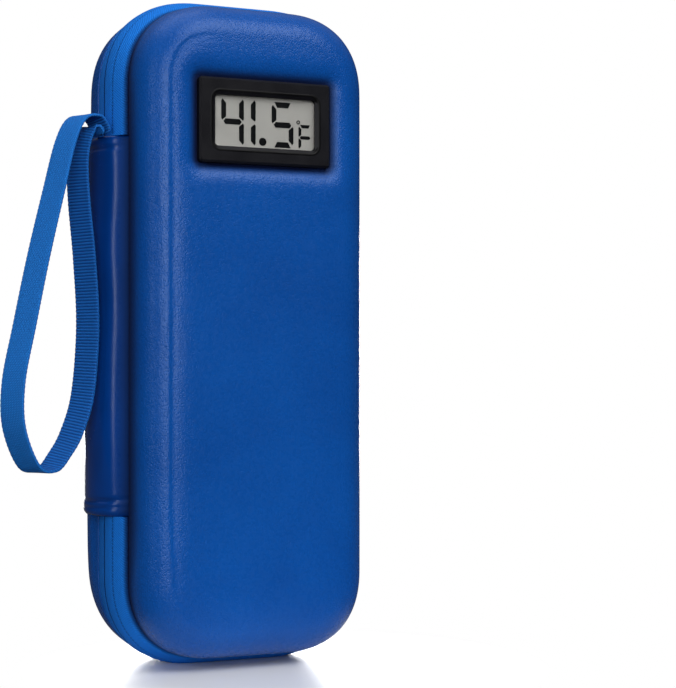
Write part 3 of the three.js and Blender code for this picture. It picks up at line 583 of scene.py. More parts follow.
def shellSkin(side, shell):
    half, body, _ = halves[side]
    node = half + "_shell"
    rimDepth, faceDepth = depthsOf(node, side)
    rimInset = insetOf(node)
    path = outlinePath(shell["gap"], shell["cornerSteps"])
    creased = wallProfile(rimInset, rimDepth, faceDepth, shell)
    plain = wallProfile(rimInset, rimDepth, faceDepth, {**shell, **shell["plain"]})
    height = path["anchor"][:, 1] + case["corner"] * path["way"][:, 1]
    pressed = (ease(*shell["fade"], path["way"][:, 0]) * ease(*shell["foot"], height))[:, None]
    profile = pressed * creased[:, None] + (1 - pressed) * plain[:, None]
    rings = np.array([ringOf(path, row[:, 0], row[:, 1], side) for row in profile])
    extra = lattice(shell["pitch"])
    extra = extra[insideOutline(extra, shell["faceInset"] + shell["pitch"] * 0.7)]
    if side < 0:
        distances = (recess["under"], *recess["rings"])
        extra = extra[bezelDistance(extra) > distances[-1] + recess["apart"]]
        around = np.concatenate([bezelRing(distance) for distance in distances])
        inside = insideOutline(around, shell["faceInset"] + recess["inside"])
        extra = np.concatenate([extra, around[inside]])
    points, faces, cap = capped(rings, extra, zipY + side * faceDepth)
    depth = np.abs(points[:, 1] - zipY)
    wobble = ripples(points[:, 0], points[:, 2], shell["wavelength"], shell["seed"]) * shell["wobble"]
    calmRim, calmFace = shell["calm"]
    points[:, 1] -= side * wobble * ease(rimDepth + calmRim, faceDepth - calmFace, depth)
    bowed = shell["belly"] * bellyAt(points[:, 2]) * ease(0, -halfWidth * 0.8, points[:, 0])
    points[:, 0] -= bowed * ease(rimDepth, rimDepth + shell["bowFull"], depth)
    # painted shade: the skin darkens from the rim, reaching further on the spine side away from the ends
    near, far = shell["shadedEnds"]
    ends = ease(near, far, points[:, 2]) * ease(caseTop - near, caseTop - far, points[:, 2])
    shaded = shell["shaded"] + shell["shadeBySpine"] * ease(0, -halfWidth * 0.9, points[:, 0]) * ends
    flow = np.zeros_like(points)
    flow[:, 2] = ease(rimDepth + shaded, rimDepth + 0.3, depth) * shell["dim"]
    if side < 0:
        apart = bezelDistance(points[:, [0, 2]])
        share = np.clip((apart - recess["start"]) / recess["reach"], 0, 1)
        sunk = (1 - share) ** recess["power"] * recess["depth"] * ease(faceDepth - 2, faceDepth - 1, depth)
        points[:, 1] -= side * sunk
        onFace = depth > faceDepth - recess["depth"] - 1
        # painted shade in the recess round the bezel
        flow[:, 2] = np.maximum(flow[:, 2], ease(*recess["shade"], apart) * onFace)
        cap = kept(points, cap, lambda spots: bezelDistance(spots) > recess["under"] + 0.02)
    makePiece(
        half + "ShellSkin", points, faces + cap, leather, body, [node], flow, middle,
        wall=shell["wall"],
    )


lidShell = {
    "wall": 2.2, "gap": 1.7, "cornerSteps": 26, "pitch": 2.4, "belly": 0.0, "bowFull": 5,
    "roll": 1.5, "lip": ((2.4, 0.1), (1.4, 0.0)), "rollTurns": (75, 55, 35, 15), "draft": 0.4,
    "round": 12.0, "crown": 0.8, "line": 73, "ledge": (1.25, -0.03), "pillow": 3.4, "faceInset": 26.0,
    "sideSteps": 6, "roundSteps": 22, "panelSteps": 12, "fade": (-0.1, -0.95), "foot": (5, 60),
    "plain": {"line": 84, "ledge": (0.6, 0.064), "crown": 0.5, "pillow": 2.0},
    "wobble": 0.2, "wavelength": 60, "seed": 3, "calm": (4, 2),
    # the next four values set painted shade from the rim: reach, extra reach on the spine side, heights
    # where that extra fades in, strength
    "shaded": 5.0, "shadeBySpine": 6.0, "shadedEnds": (10, 55), "dim": 1.0,
}
backShell = {
    **lidShell, "gap": 2.0, "cornerSteps": 24, "pitch": 3.2, "belly": 2.0,
    "roll": 0.5, "draft": 0.5, "wobble": 0.22, "wavelength": 70, "seed": 5,
    # painted shade from the rim, weaker here
    "shaded": 1.2, "shadeBySpine": 0.0, "dim": 0.12,
}
shellSkin(-1, lidShell)
shellSkin(1, backShell)
print("shells moulded")

# zip tapes, coils and the closed ends by the spine

tape = {
    "lane": 0.32, "bend": 0.35, "edge": 0.9, "laneShade": 0.8, "dip": 0.48, "thickness": 1.0,
    "gap": 1.4, "cornerSteps": 28, "step": 0.42, "sewn": 6.3, "rise": 0.1,
    # the shade values are painted shade in the zip lane and in the crevice by the shell rim
    "crevice": {-1: 3.2, 1: 0.3}, "creviceTall": {-1: 3.0, 1: 0.9}, "creviceShade": {-1: 1.0, 1: 0.1},
}


def tapeRows(side):  # inset, depth and painted shade, from the teeth to the shell
    half, _, _ = halves[side]
    _, end = depthsOf(half + "_zip_tape", side)
    rimInset = insetOf(half + "_shell")
    start = tape["lane"] + tape["bend"]
    dim = tape["laneShade"]
    rows = [(tape["edge"], tape["lane"], 1.0), (0.4, tape["lane"], 1.0)]
    rows += [(0.12, tape["lane"] + 0.1, dim), (0.02, start, dim * 0.2)]
    for depth in np.arange(start + 0.3, end + 0.5, tape["step"]):
        share = (depth - start) / (end - start)
        ridge = tape["rise"] * (bump(tape["sewn"] + 0.7, 0.35, depth) - 2 * bump(tape["sewn"], 0.3, depth))
        tuck = ease(end - tape["creviceTall"][side], end, depth)
        inset = (rimInset + tape["dip"]) * share ** 2 - ridge + tape["crevice"][side] * tuck ** 2
        rows.append((inset, depth, tape["creviceShade"][side] * float(ease(0.05, 0.6, tuck))))
    return rows


def tapePiece(side):
    half, body, _ = halves[side]
    path = zipPath(tape["gap"], tape["cornerSteps"])
    rows = tapeRows(side)
    count = len(path["anchor"])
    points = np.array([ringOf(path, inset, depth, side) for inset, depth, _ in rows])
    travel = np.tile(travelOf(path), (len(rows), 1))
    # the third flow value is painted shade
    depth, paintedShade = [np.repeat([[row[i]] for row in rows], count, 1) for i in (1, 2)]
    flow = np.stack([-side * depth, travel, paintedShade], -1)
    faces = gridFaces(len(rows), count)
    makePiece(
        half + "Tape", points, faces, tapeCloth, body, [half + "_zip_tape"], flow, middle,
        wall=tape["thickness"],
    )


coil = {
    "pitch": 1.55, "shift": {-1: 0.0, 1: 0.5}, "long": 0.76, "tall": 1.9, "start": -0.42,
    "gap": 0.8, "cornerSteps": 60, "clear": 0.05, "floor": 0.2,
    "section": [
        (-0.5, 0.12), (-0.38, 0.0), (0.38, 0.0), (0.5, 0.12),
        (0.5, 0.8), (0.3, 1.0), (-0.3, 1.0), (-0.5, 0.8),
    ],
    "rings": ((0.0, 0.55), (0.35, 0.95), (2.56, 0.95), (3.2, 0.6)),
}


def coilPiece(side):
    half, body, _ = halves[side]
    node = half + "_zip_coil"
    path = zipPath(coil["gap"], coil["cornerSteps"])
    travel = travelOf(path)
    spots = np.arange(coil["pitch"] * (1 + coil["shift"][side]), travel[-1] - coil["pitch"], coil["pitch"])
    way = unit(sampled(spots, travel, path["way"]))
    along = np.stack([way[:, 1], -way[:, 0]], 1)
    reach = case["corner"] - insetOf(node) - coil["clear"]
    edge = sampled(spots, travel, path["anchor"]) + reach * way
    parts = []
    for spot, out, ahead in zip(edge, way, along):
        points = []
        for deep, shrink in coil["rings"]:
            y = zipY + side * (coil["start"] + deep)
            for u, v in coil["section"]:
                tall = coil["tall"] * (0.5 + (v - 0.5) * shrink)
                x, z = spot - out * tall + ahead * coil["long"] * u * shrink
                points.append((x, y, max(z, coil["floor"])))
        parts.append((points, tubeFaces(len(coil["rings"]), len(coil["section"]))))
    points, faces = gather(parts)
    makePiece(half + "Coil", points, faces, coilPlastic, body, [node])


zipEnd = {"step": 1.2, "toe": 0.35}


def zipEndPiece(which, side):
    _, body, title = halves[side]
    node = which + "_zip_end"
    low, high = boxOf(node)
    section = [(tape["edge"], 0.0, 1.0)] + tapeRows(side)
    z0, z1 = max(low[2] - zipEnd["toe"], cornerLow), min(high[2] + zipEnd["toe"], cornerHigh)
    heights = np.linspace(z0, z1, int((z1 - z0) / zipEnd["step"]))
    points = [(inset - halfWidth, zipY + side * depth, z) for inset, depth, _ in section for z in heights]
    # the third flow value is painted shade
    flow = [(-side * depth, z, paintedShade) for _, depth, paintedShade in section for z in heights]
    faces = gridFaces(len(section), len(heights))
    piece = makePiece(
        which + "ZipEnd" + title, points, faces, tapeCloth, None, [node] if side < 0 else [],
        flow, middle, wall=tape["thickness"],
    )
    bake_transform(piece)


for maker in (tapePiece, coilPiece):
    for side in halves:
        maker(side)
for which in ("upper", "lower"):
    for side in halves:
        zipEndPiece(which, side)
print("zip made")

# spine cover and lining, each in two halves

spineBox = boxOf("spine_cover")
spine = {
    "bulge": 5.2, "lidInset": 4.6, "backInset": 0.2, "reach": 7.0, "rows": 23, "columns": 170,
    "wander": 0.6, "wavelength": 11, "seed": 21, "hem": 5.0, "hemRise": 0.45, "seam": 4.2,
    "crease": 1.2, "swing": (1.8, 0.9), "tuck": 0.9, "tuckTall": 1.2, "fold": 3.6, "foldReach": 0.32,
    "shaded": 0.18, "turnInEnd": 0.06,
}
spineLayers = {
    "spineCover": {
        "node": "spine_cover", "paint": spineLeather, "slot": "leather",
        "wall": 1.1, "offset": 0.0, "turnIn": 5.0,
    },
    "spineLining": {
        "node": "spine_lining", "paint": blackCloth, "slot": "black_fabric",
        "wall": 0.5, "offset": 2.0, "turnIn": 0.0,
    },
}


def spinePoint(share, z, offset):
    low, high = spineBox
    backInset = spine["backInset"] - backShell["belly"] * bellyAt(z)
    inset = spine["lidInset"] + (backInset - spine["lidInset"]) * share
    y = low[1] + (high[1] + spine["reach"] - low[1]) * share
    arch = np.sin(math.pi * share) ** 0.85
    wander = ripples(z / 3.2, share * 9, spine["wavelength"], spine["seed"]) * spine["wander"] * arch
    foot = z - low[2]
    head = high[2] - z
    hem = spine["hemRise"] * ease(spine["hem"] + 0.5, spine["hem"] - 0.5, foot)
    swing = spine["swing"][0] * (1 - share) ** 2 + spine["swing"][1] * share ** 6
    dents = 1.3 * bump(spine["hem"] - 0.6 + swing, 0.5, foot)  # two over the hem, one at the top seam
    dents = dents + 0.6 * bump(spine["hem"] - 2.6 + 0.8 * swing, 0.6, foot)
    dents = dents + 0.9 * bump(spine["seam"] - 0.3 * arch, 0.45, head)
    tuck = spine["tuck"] * (ease(spine["tuckTall"], 0.0, foot) + ease(spine["tuckTall"], 0.0, head))
    fold = spine["fold"] * ease(spine["foldReach"], 0.0, share) ** 2
    out = (spine["bulge"] - spine["crease"] * dents) * arch + wander + hem - tuck - fold - offset
    return np.stack([inset - halfWidth - out, y, z], -1)


def spinePiece(name, layer, side):
    _, body, title = halves[side]
    low, high = boxOf(layer["node"])
    shares = 0.5 * np.linspace(0, 1, spine["rows"]) ** 0.8
    if side > 0:
        shares = 1 - shares
    heights = np.linspace(low[2], high[2], spine["columns"])
    if layer["turnIn"]:  # the cover's ends fold in as far as the tape
        heights = np.concatenate([heights[:1], heights, heights[-1:]])
    share, z = np.meshgrid(shares, heights, indexing="ij")
    inward = np.full(share.shape, layer["offset"])
    inward[:, [0, -1]] += layer["turnIn"] * (spine["turnInEnd"] + np.sin(math.pi * share[:, [0, -1]]))
    # painted shade at the lid-side groove and along the back edge
    paintedShade = np.maximum(ease(spine["shaded"], 0.02, share), ease(1 - spine["shaded"] / 3, 1.0, share))
    points = spinePoint(share, z, inward)
    flow = np.stack([share * 22, z, paintedShade], -1)
    faces = gridFaces(len(shares), len(heights))
    nodes = [layer["node"]] if side < 0 else []
    piece = makePiece(
        name + title, points, faces, layer["paint"], None, nodes, flow,
        (0, -4, caseTop / 2), wall=layer["wall"],
    )
    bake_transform(piece)


for name, layer in spineLayers.items():
    for side in halves:
        spinePiece(name, layer, side)
print("spine sewn")

# wrist strap

strap = {
    "width": 10.0, "thickness": 1.1, "turn": 34, "twistEase": 0.12, "steps": 420,
    "scallop": 0.1, "pitch": 1.05,
    "route": [
        (1.7, -4, 0.4), (2.9, -4, 3), (5.7, -4.5, 6), (11.4, -6, 5), (15.9, -8, -3), (20.5, -9.5, -20),
        (26, -10.7, -42), (31, -11.6, -65), (34.8, -12, -84), (34.5, -11.4, -99), (28.8, -9, -112),
        (21.9, -6, -113.5), (16.9, -4.2, -108.5), (12.4, -3.2, -101), (8.4, -2.6, -88), (6.6, -2.4, -65),
        (7.9, -2.8, -42), (9.9, -3.4, -23), (10.6, -3.9, -10), (9.2, -4.2, -1.4), (6.1, -4.2, 2.4),
        (3.3, -4, 0.4),
    ],
    "edge": [
        (-1.0, 0.0), (-0.985, 0.3), (-0.94, 0.46), (-0.86, 0.5), (-0.5, 0.5), (0.0, 0.5), (0.5, 0.5),
        (0.86, 0.5), (0.94, 0.46), (0.985, 0.3),
    ],
}


def smoothRoute(points, steps):
    points = np.asarray(points, float)
    padded = np.concatenate([[2 * points[0] - points[1]], points, [2 * points[-1] - points[-2]]])
    t = np.linspace(0, 1, 24, endpoint=False)[:, None]
    line = []
    for a, b, c, d in zip(padded, padded[1:], padded[2:], padded[3:]):
        square, cube = 2 * a - 5 * b + 4 * c - d, 3 * b - a - 3 * c + d
        line.append(0.5 * (2 * b + (c - a) * t + square * t ** 2 + cube * t ** 3))
    line = np.concatenate(line + [points[-1:]])
    travel = travelAlong(line)
    even = np.linspace(0, travel[-1], steps)
    return sampled(even, travel, line), even


def strapPiece():
    spots = [(-halfWidth - out, zipY + back, spineBox[1][2] + up) for out, back, up in strap["route"]]
    route, travel = smoothRoute(spots, strap["steps"])
    ahead = unit(np.gradient(route, axis=0))
    arch = np.abs(np.sin(math.pi * travel / travel[-1]))
    turn = math.radians(strap["turn"]) * arch ** strap["twistEase"]
    across = np.stack([-np.sin(turn), np.cos(turn), np.zeros_like(turn)], 1)
    across = unit(across - (across * ahead).sum(1)[:, None] * ahead)
    face = np.cross(ahead, across)
    half = strap["width"] / 2 + strap["scallop"] * np.sin(fullTurn * travel / strap["pitch"])
    section = strap["edge"] + [(-u, -v) for u, v in strap["edge"]]
    points = [route + across * (half * u)[:, None] + face * strap["thickness"] * v for u, v in section]
    flow = [np.stack([half * u, travel, np.full(len(travel), float(v > 0))], 1) for u, v in section]
    points, flow = np.stack(points, 1), np.stack(flow, 1)
    faces = tubeFaces(len(route), len(section))
    piece = makePiece("wristStrap", points, faces, strapCloth, "strap", ["wrist_strap"], flow)


strapPiece()
print("strap hung")

# display

digits = {
    "window": (36.6, 17.2), "ink": 0.09, "sunk": 0.01, "bar": 1.75, "thin": 1.05, "roundSteps": 24,
    "shown": [("4", 2.8, 11.0, 1.0, 16.3), ("1", 7.1, 15.3, 1.0, 16.3), ("5", 21.2, 29.3, 2.1, 15.5)],
    "unit": ("F", 31.2, 36.1, 8.9, 16.5), "dot": (17.9, 14.9, 1.38), "degree": (31.1, 7.5, 0.52, 0.17),
}
segmentsOf = {"4": "fgbc", "1": "bc", "5": "afgcd", "F": "afge"}


def digitBars(letter, left, right, top, bottom, bar):
    wide, tall = (right - left) / bar, (bottom - top) / bar
    half = tall / 2
    upright = [(0, 0.4), (0.25, 0), (1, 0.85), (1, half - 0.9), (0.2, half - 0.25), (0, half - 0.55)]
    cross = [(0.6, -0.6), (wide - 0.6, -0.6), (wide - 1.15, 0.5), (1.15, 0.5)]
    centre = [(0.45, half), (0.85, half - 0.55), (wide - 0.85, half - 0.55), (wide - 0.45, half)]
    centre += [(wide - 0.85, half + 0.55), (0.85, half + 0.55)]

    def mirrored(shape, across, down):
        return [(wide - u if across else u, tall - v if down else v) for u, v in shape]

    bars = {
        "a": cross, "d": mirrored(cross, False, True), "g": centre, "f": upright,
        "b": mirrored(upright, True, False), "e": mirrored(upright, False, True),
        "c": mirrored(upright, True, True),
    }
    return [[(left + u * bar, top + v * bar) for u, v in bars[name]] for name in segmentsOf[letter]]


def inkPiece():
    wide, tall = digits["window"]
    left, top = bezelSpot[0] - wide / 2, bezelSpot[1] + tall / 2
    front = boxOf("lcd_panel")[0][1]
    back = front - digits["sunk"]
    dot = circle(np.linspace(0, fullTurn, digits["roundSteps"], endpoint=False))
    shapes = [bar for shown in digits["shown"] for bar in digitBars(*shown, digits["bar"])]
    shapes += digitBars(*digits["unit"], digits["thin"])
    x, z, radius = digits["dot"]
    shapes.append((x, z) + radius * dot)
    spots = [[(left + u, top - v) for u, v in shape] for shape in shapes]
    parts = [prism(spot, front - digits["ink"], back) for spot in spots]
    x, z, radius, line = digits["degree"]
    ring = atDepth((left + x, top - z) + radius * dot, back - line / 2)
    parts.append(tube(np.concatenate([ring, ring[:2]]), line, 8))
    points, faces = gather(parts)
    makePiece("lcdDigits", points, faces, lcdInk, "lid", flat=True)


windowRing = {"bevel": 1.2, "corner": 1.6, "bead": 0.06, "skin": 0.06, "steps": 7}


def windowRingPiece():
    faceY = bezelBox[0][1]
    lens = boxOf("display_lens")[0][1] - faceY
    half = np.array(digits["window"]) / 2 - windowRing["corner"]
    bevel, bead = windowRing["bevel"], windowRing["bead"]
    rows = [(bevel + 0.75, 0.02), (bevel + 0.6, -bead * 0.7), (bevel + 0.3, -bead), (bevel, -bead * 0.7)]
    rows += [(bevel - 0.3, 0.2), (0.15, lens - 0.25), (0.0, lens - 0.1)]
    points = []
    for out, deep in rows:
        arcs = roundedCorners(bezelSpot, half, windowRing["corner"] + out, windowRing["steps"])
        points.append(atDepth(np.concatenate(arcs), faceY + deep))
    faces = gridFaces(len(rows), 4 * windowRing["steps"], True)
    behind = (bezelSpot[0], 60, bezelSpot[1])
    makePiece(
        "windowRing", points, faces, glossBlack, "lid", outward=behind,
        wall=windowRing["skin"],
    )


windowRingPiece()
inkPiece()
dressed = {  # paint, bevel and its segments
    "display_bezel": (blackPlastic, 0.3, 3), "display_lens": (lensClear,), "lcd_panel": (lcdGlass, 0.1),
    "upper_contact_strip": (contactRubber, 0.1), "lower_contact_strip": (contactRubber, 0.1),
    "circuit_board": (boardGreen, 0.1), "module_case": (blackPlastic, 0.25),
    "battery_cover": (blackPlastic, 0.15), "sensor_bead": (blackPlastic, 0.2),
    "left_button_cell": (steel, 0.1), "right_button_cell": (steel, 0.1),
    "unit_switch": (blackPlastic, 0.1), "unit_button": (keyRubber, 0.2, 3),
    "left_spring_clip": (steel, 0.08), "right_spring_clip": (steel, 0.08),
    "upper_slider": (nickel, 0.22, 3), "lower_slider": (nickel, 0.22, 3),
    "upper_pull": (nickel, 0.22, 3), "lower_pull": (nickel, 0.22, 3),
}
for node, look in dressed.items():
    dress(node, *look)
print("display and metalwork dressed")

# foil linings, bindings and pockets

foil = {
    "pitch": 4.6, "jitter": 1.5, "crumple": 0.34, "thickness": 4.5, "round": 5.0, "gap": 4.0,
    "cornerSteps": 9, "skin": 0.35, "flange": 2.5, "draft": 1.0, "margin": 1.2, "moduleGap": 2.5,
    "seed": {-1: 31, 1: 41},
}


def linerPiece(side):
    half, body, _ = halves[side]
    node = half + "_liner"
    seed = foil["seed"][side]
    rimInset = insetOf(node) + foil["thickness"]
    rimDepth, faceDepth = depthsOf(node, side)
    faceDepth -= foil["thickness"]
    path = outlinePath(foil["gap"], foil["cornerSteps"])
    profile = [(rimInset - foil["flange"], rimDepth), (rimInset, rimDepth)]
    wall = faceDepth - foil["round"] - rimDepth
    profile += [(rimInset + share * foil["draft"], rimDepth + share * wall) for share in (0.5, 1.0)]
    for angle in np.radians([30, 60, 90]):
        inward, rise = foil["round"] * (1 - math.cos(angle)), foil["round"] * (1 - math.sin(angle))
        profile.append((rimInset + foil["draft"] + inward, faceDepth - rise))
    rings = np.array([ringOf(path, inset, depth, side) for inset, depth in profile])
    rng = np.random.default_rng(seed)
    rings[2:] += rng.uniform(-foil["crumple"], foil["crumple"], rings[2:].shape)
    extra = lattice(foil["pitch"], foil["jitter"], seed + 1)
    extra = extra[insideOutline(extra, profile[-1][0] + foil["margin"])]
    rng = np.random.default_rng(seed + 2)
    y = zipY + side * faceDepth + rng.uniform(-foil["crumple"], foil["crumple"], len(extra))
    points, quads, cap = capped(rings, extra, y)
    quads = np.array(quads)
    faces = quads[:, [0, 1, 2]].tolist() + quads[:, [0, 2, 3]].tolist()
    if side < 0:
        low, high = boxOf("module_case")
        reach = (high - low)[[0, 2]] / 2 + foil["moduleGap"]
        cap = kept(points, cap, lambda spots: (np.abs(spots - bezelSpot) >= reach).any(1))
    makePiece(
        half + "Foil", points, faces + cap, silverFoil, body, [node], outward=middle, flat=True,
        wall=foil["skin"],
    )


binding = {
    "width": 7.0, "tall": 4.0, "low": 0.35, "arch": 0.6, "steps": 12, "gap": 1.5, "cornerSteps": 26,
    "wrinkle": 0.32, "wavelength": 9, "loop": 60, "seed": {-1: 51, 1: 61},
}


def bindingPiece(side):
    half, body, _ = halves[side]
    node = half + "_binding"
    inset = insetOf(node)
    _, far = depthsOf(node, side)
    path = outlinePath(binding["gap"], binding["cornerSteps"])
    travel = travelOf(path)
    turn = travel / (travel[-1] + binding["gap"]) * fullTurn
    u, v = binding["loop"] * np.cos(turn), binding["loop"] * np.sin(turn)
    section = []
    for angle in np.linspace(0, math.pi, binding["steps"] + 1):
        puff = binding["wrinkle"] * ripples(u, v + 3 * angle, binding["wavelength"], binding["seed"][side])
        tall = binding["tall"] * (binding["low"] + binding["arch"] * math.sin(angle))
        across = inset + binding["width"] / 2 * (1 - math.cos(angle))
        section.append((across, far - tall + puff * math.sin(angle)))
    section += [(inset + binding["width"], far), (inset, far)]
    points = np.stack([ringOf(path, across, depth, side) for across, depth in section], 1)
    flow = np.stack([np.stack([0 * travel + across, travel, 0 * travel], 1) for across, _ in section], 1)
    faces = gridFaces(len(travel), len(section), True, True)
    makePiece(half + "Binding", points, faces, blackCloth, body, [node], flow)


for maker in (linerPiece, bindingPiece):
    for side in halves:
        maker(side)

pocket = {
    "crumple": 0.42, "pitch": 4.8, "jitter": 1.5, "skin": 0.5, "margin": 2.0, "topMargin": 1.5, "seed": 71,
    "cornerSteps": 12, "sideSteps": 30, "topSteps": 16,
}


def pocketOutline(half, low, high, corner):
    angle = np.linspace(0, math.pi / 2, pocket["cornerSteps"])
    way = circle(angle) ** (2 / case["fullness"])
    bend = (half - corner, low + corner) + corner * way * (1, -1)
    heights = np.linspace(high, low + corner, pocket["sideSteps"], endpoint=False)
    right = np.concatenate([np.stack([np.full(len(heights), half), heights], 1), bend])
    across = np.linspace(-half, half, pocket["topSteps"], endpoint=False)
    top = np.stack([across, np.full(len(across), high)], 1)
    return np.concatenate([top, right, (right * (-1, 1))[::-1][:-1]])


def pocketPiece():
    node = "back_pocket_panel"
    low, high = boxOf(node)
    inset = insetOf(node)
    edge = pocketOutline(high[0], low[2], high[2], case["corner"] - inset)
    extra = lattice(pocket["pitch"], pocket["jitter"], pocket["seed"])
    below = extra[:, 1] < high[2] - pocket["topMargin"]
    extra = extra[insideOutline(extra, inset + pocket["margin"]) & below]
    flat = np.concatenate([edge, extra])
    rng = np.random.default_rng(pocket["seed"] + 1)
    points = atDepth(flat, low[1] + rng.uniform(0, pocket["crumple"], len(flat)))
    behind = (0, high[1] + 40, caseTop / 2)
    makePiece(
        "pocketFoil", points, fill(edge, extra), silverFoil, "back_half", [node], outward=behind,
        flat=True, wall=pocket["skin"],
    )


ribbon = {"columns": 150, "rows": 13, "gather": 0.08, "puff": 0.28, "thickness": 0.6}
net = {
    "pitch": 2.5, "strand": 0.2, "slope": 1.25, "step": 0.7, "weave": 0.16, "sag": 2.6,
    "inset": 0.8, "over": 0.6, "edge": 0.85, "edgeInset": 0.9,
}


def ribbonPiece(name, node, body, paint, ribs, sag):
    low, high = boxOf(node)
    across = np.linspace(low[0], high[0], ribbon["columns"])
    x, share = np.meshgrid(across, np.linspace(0, 1, ribbon["rows"]), indexing="ij")
    z = low[2] + (high[2] - low[2]) * share - sag * (1 - (x / high[0]) ** 2)
    thick = high[1] - low[1]
    puff = thick * (0.5 - ribbon["puff"] * np.sin(math.pi * share) ** 0.5)
    gathers = ribbon["gather"] * np.sin(fullTurn * x / ribs + 2 * share)
    front = np.stack([x, (low[1] + high[1]) / 2 - puff + gathers, z], -1)
    back = front + (0, thick * ribbon["thickness"], 0)
    loop = np.concatenate([front, back[:, ::-1]], 1)
    flow = np.stack([loop[..., 2], loop[..., 0], np.zeros(loop.shape[:2])], -1)
    makePiece(name, loop, tubeFaces(*loop.shape[:2]), paint, body, [node], flow)


def netPiece():
    low, high = boxOf("net_pocket")
    half, corner = high[0], case["corner"] - insetOf("net_pocket")
    y = (low[1] + high[1]) / 2

    def within(x, z, inset):
        dx = np.maximum(np.abs(x) - (half - corner), 0)
        dz = np.maximum(low[2] + corner - z, 0)
        top = high[2] - net["sag"] * (1 - (x / half) ** 2) + net["over"]
        rounded = np.hypot(dx, dz) < corner - inset
        return (np.abs(x) < half - inset) & rounded & (z < top) & (z > low[2] + inset)

    parts = []
    lean = (high[2] - low[2]) / net["slope"]
    z = np.arange(low[2], high[2] + 1, net["step"])
    phase = fullTurn * (z - low[2]) / (net["pitch"] * net["slope"])
    for way, shift in ((1, 0), (-1, net["pitch"] / 2)):
        for number, start in enumerate(np.arange(-half - lean, half + lean, net["pitch"])):
            x = start + way * (z - low[2]) / net["slope"] + shift
            route = np.stack([x, y + net["weave"] * way * np.cos(phase + math.pi * number), z], 1)
            route = route[within(x, z, net["inset"])]
            if len(route) > 4:
                parts.append(tube(route, net["strand"], 4))
    inset = net["edgeInset"]
    outline = pocketOutline(half - inset, low[2] + inset, high[2], corner - inset)
    parts.append(tube(atDepth(outline[pocket["topSteps"]:], y), net["edge"], 8))
    points, faces = gather(parts)
    points[:, 1] = np.clip(points[:, 1], low[1], high[1] + 0.1)
    flow = points[:, [0, 2, 1]]
    makePiece("netPocket", points, faces, blackCloth, "lid", ["net_pocket"], flow)


pocketPiece()
ribbonPiece("pocketTrim", "back_pocket_trim", "back_half", blackCloth, ribs=3.0, sag=0.0)
ribbonPiece("netHem", "net_hem", "lid", blackElastic, ribs=2.4, sag=net["sag"])
netPiece()

band = {
    "loop": 13.0, "gap": 4.0, "thickness": 1.0, "outer": 0.5, "inner": 0.35, "rib": 1.5, "rise": 0.16,
    "columns": 72, "archSteps": 30, "end": 2.0, "seam": 0.8,
}


def bandPiece():
    low, high = boxOf("pen_loop_band")
    thick, end, seam = band["thickness"], band["end"], band["seam"]
    centre = band["gap"] / 2 + band["loop"]
    angle = np.linspace(0, math.pi, band["archSteps"])
    arch = np.stack([-np.cos(angle) * band["loop"], np.sin(angle) ** 0.85 * (high[1] - low[1] - thick)], 1)
    line = np.concatenate([
        [(low[0], 0.0), (low[0] + end, 0.0)], arch - (centre, 0), [(-seam, 0.0), (seam, 0.0)],
        arch + (centre, 0), [(high[0] - end, 0.0), (high[0], 0.0)],
    ])
    ahead = unit(np.gradient(line, axis=0))
    aside = np.stack([-ahead[:, 1], ahead[:, 0]], 1)[:, None]
    z = np.linspace(low[2], high[2], band["columns"])
    rib = band["rise"] * np.sin(fullTurn * z / band["rib"])
    outer = line[:, None] + aside * (thick * band["outer"] + rib[None, :, None])
    inner = np.broadcast_to(line[:, None] - aside * thick * band["inner"], outer.shape)
    flat = np.concatenate([outer, inner[:, ::-1]], 1)
    y = np.minimum(high[1] - thick * band["outer"] - flat[..., 1], high[1])
    heights = np.tile(np.concatenate([z, z[::-1]]), (len(line), 1))
    points = np.stack([flat[..., 0], y, heights], -1)
    travel = np.repeat(travelAlong(line)[:, None], heights.shape[1], 1)
    flow = np.stack([heights, travel, 0 * travel], -1)
    faces = tubeFaces(*heights.shape)
    node = "pen_loop_band"
    makePiece("penLoopBand", points, faces, blackElastic, "back_half", [node], flow)


bandPiece()
print("inside sewn")

# ice packs

pack = {
    "profile": [
        (0.0, 0.0), (0.12, 1.0), (0.5, 2.1), (1.1, 3.0), (1.9, 3.65), (2.8, 4.05), (3.8, 4.22), (4.8, 4.2),
    ],
    "panel": [(5.6, 3.95), (6.3, 3.6), (7.2, 3.45), (9.0, 3.42)], "seam": 0.22, "steps": 24,
    "flake": 4.4, "stroke": 0.62, "hub": 0.3, "twigs": ((0.45, 0.26), (0.72, 0.2)), "twigStroke": 0.8,
    "nib": 0.4, "print": 0.12, "printStep": 0.002, "sunk": 0.1,
    "flakes": [(-7, 183), (10, 181), (-20, 166)],
}


def strokeShape(start, end, width):
    ahead = (end - start) / np.linalg.norm(end - start)
    aside = np.array((-ahead[1], ahead[0])) * width / 2
    nib = ahead * width * pack["nib"]
    return [start, start + nib + aside, end - nib + aside, end, end - nib - aside, start + nib - aside]


def flakeShapes(centre):
    size, stroke = pack["flake"], pack["stroke"]
    shapes = []
    for arm in range(6):
        angle = math.pi / 2 + arm * math.pi / 3
        out = circle(angle)
        shapes.append(strokeShape(centre + out * pack["hub"], centre + out * size, stroke))
        for share, length in pack["twigs"]:
            foot = centre + out * size * share
            for turn in (math.pi / 4, -math.pi / 4):
                tip = foot + circle(angle + turn) * size * length
                shapes.append(strokeShape(foot, tip, stroke * pack["twigStroke"]))
    return shapes


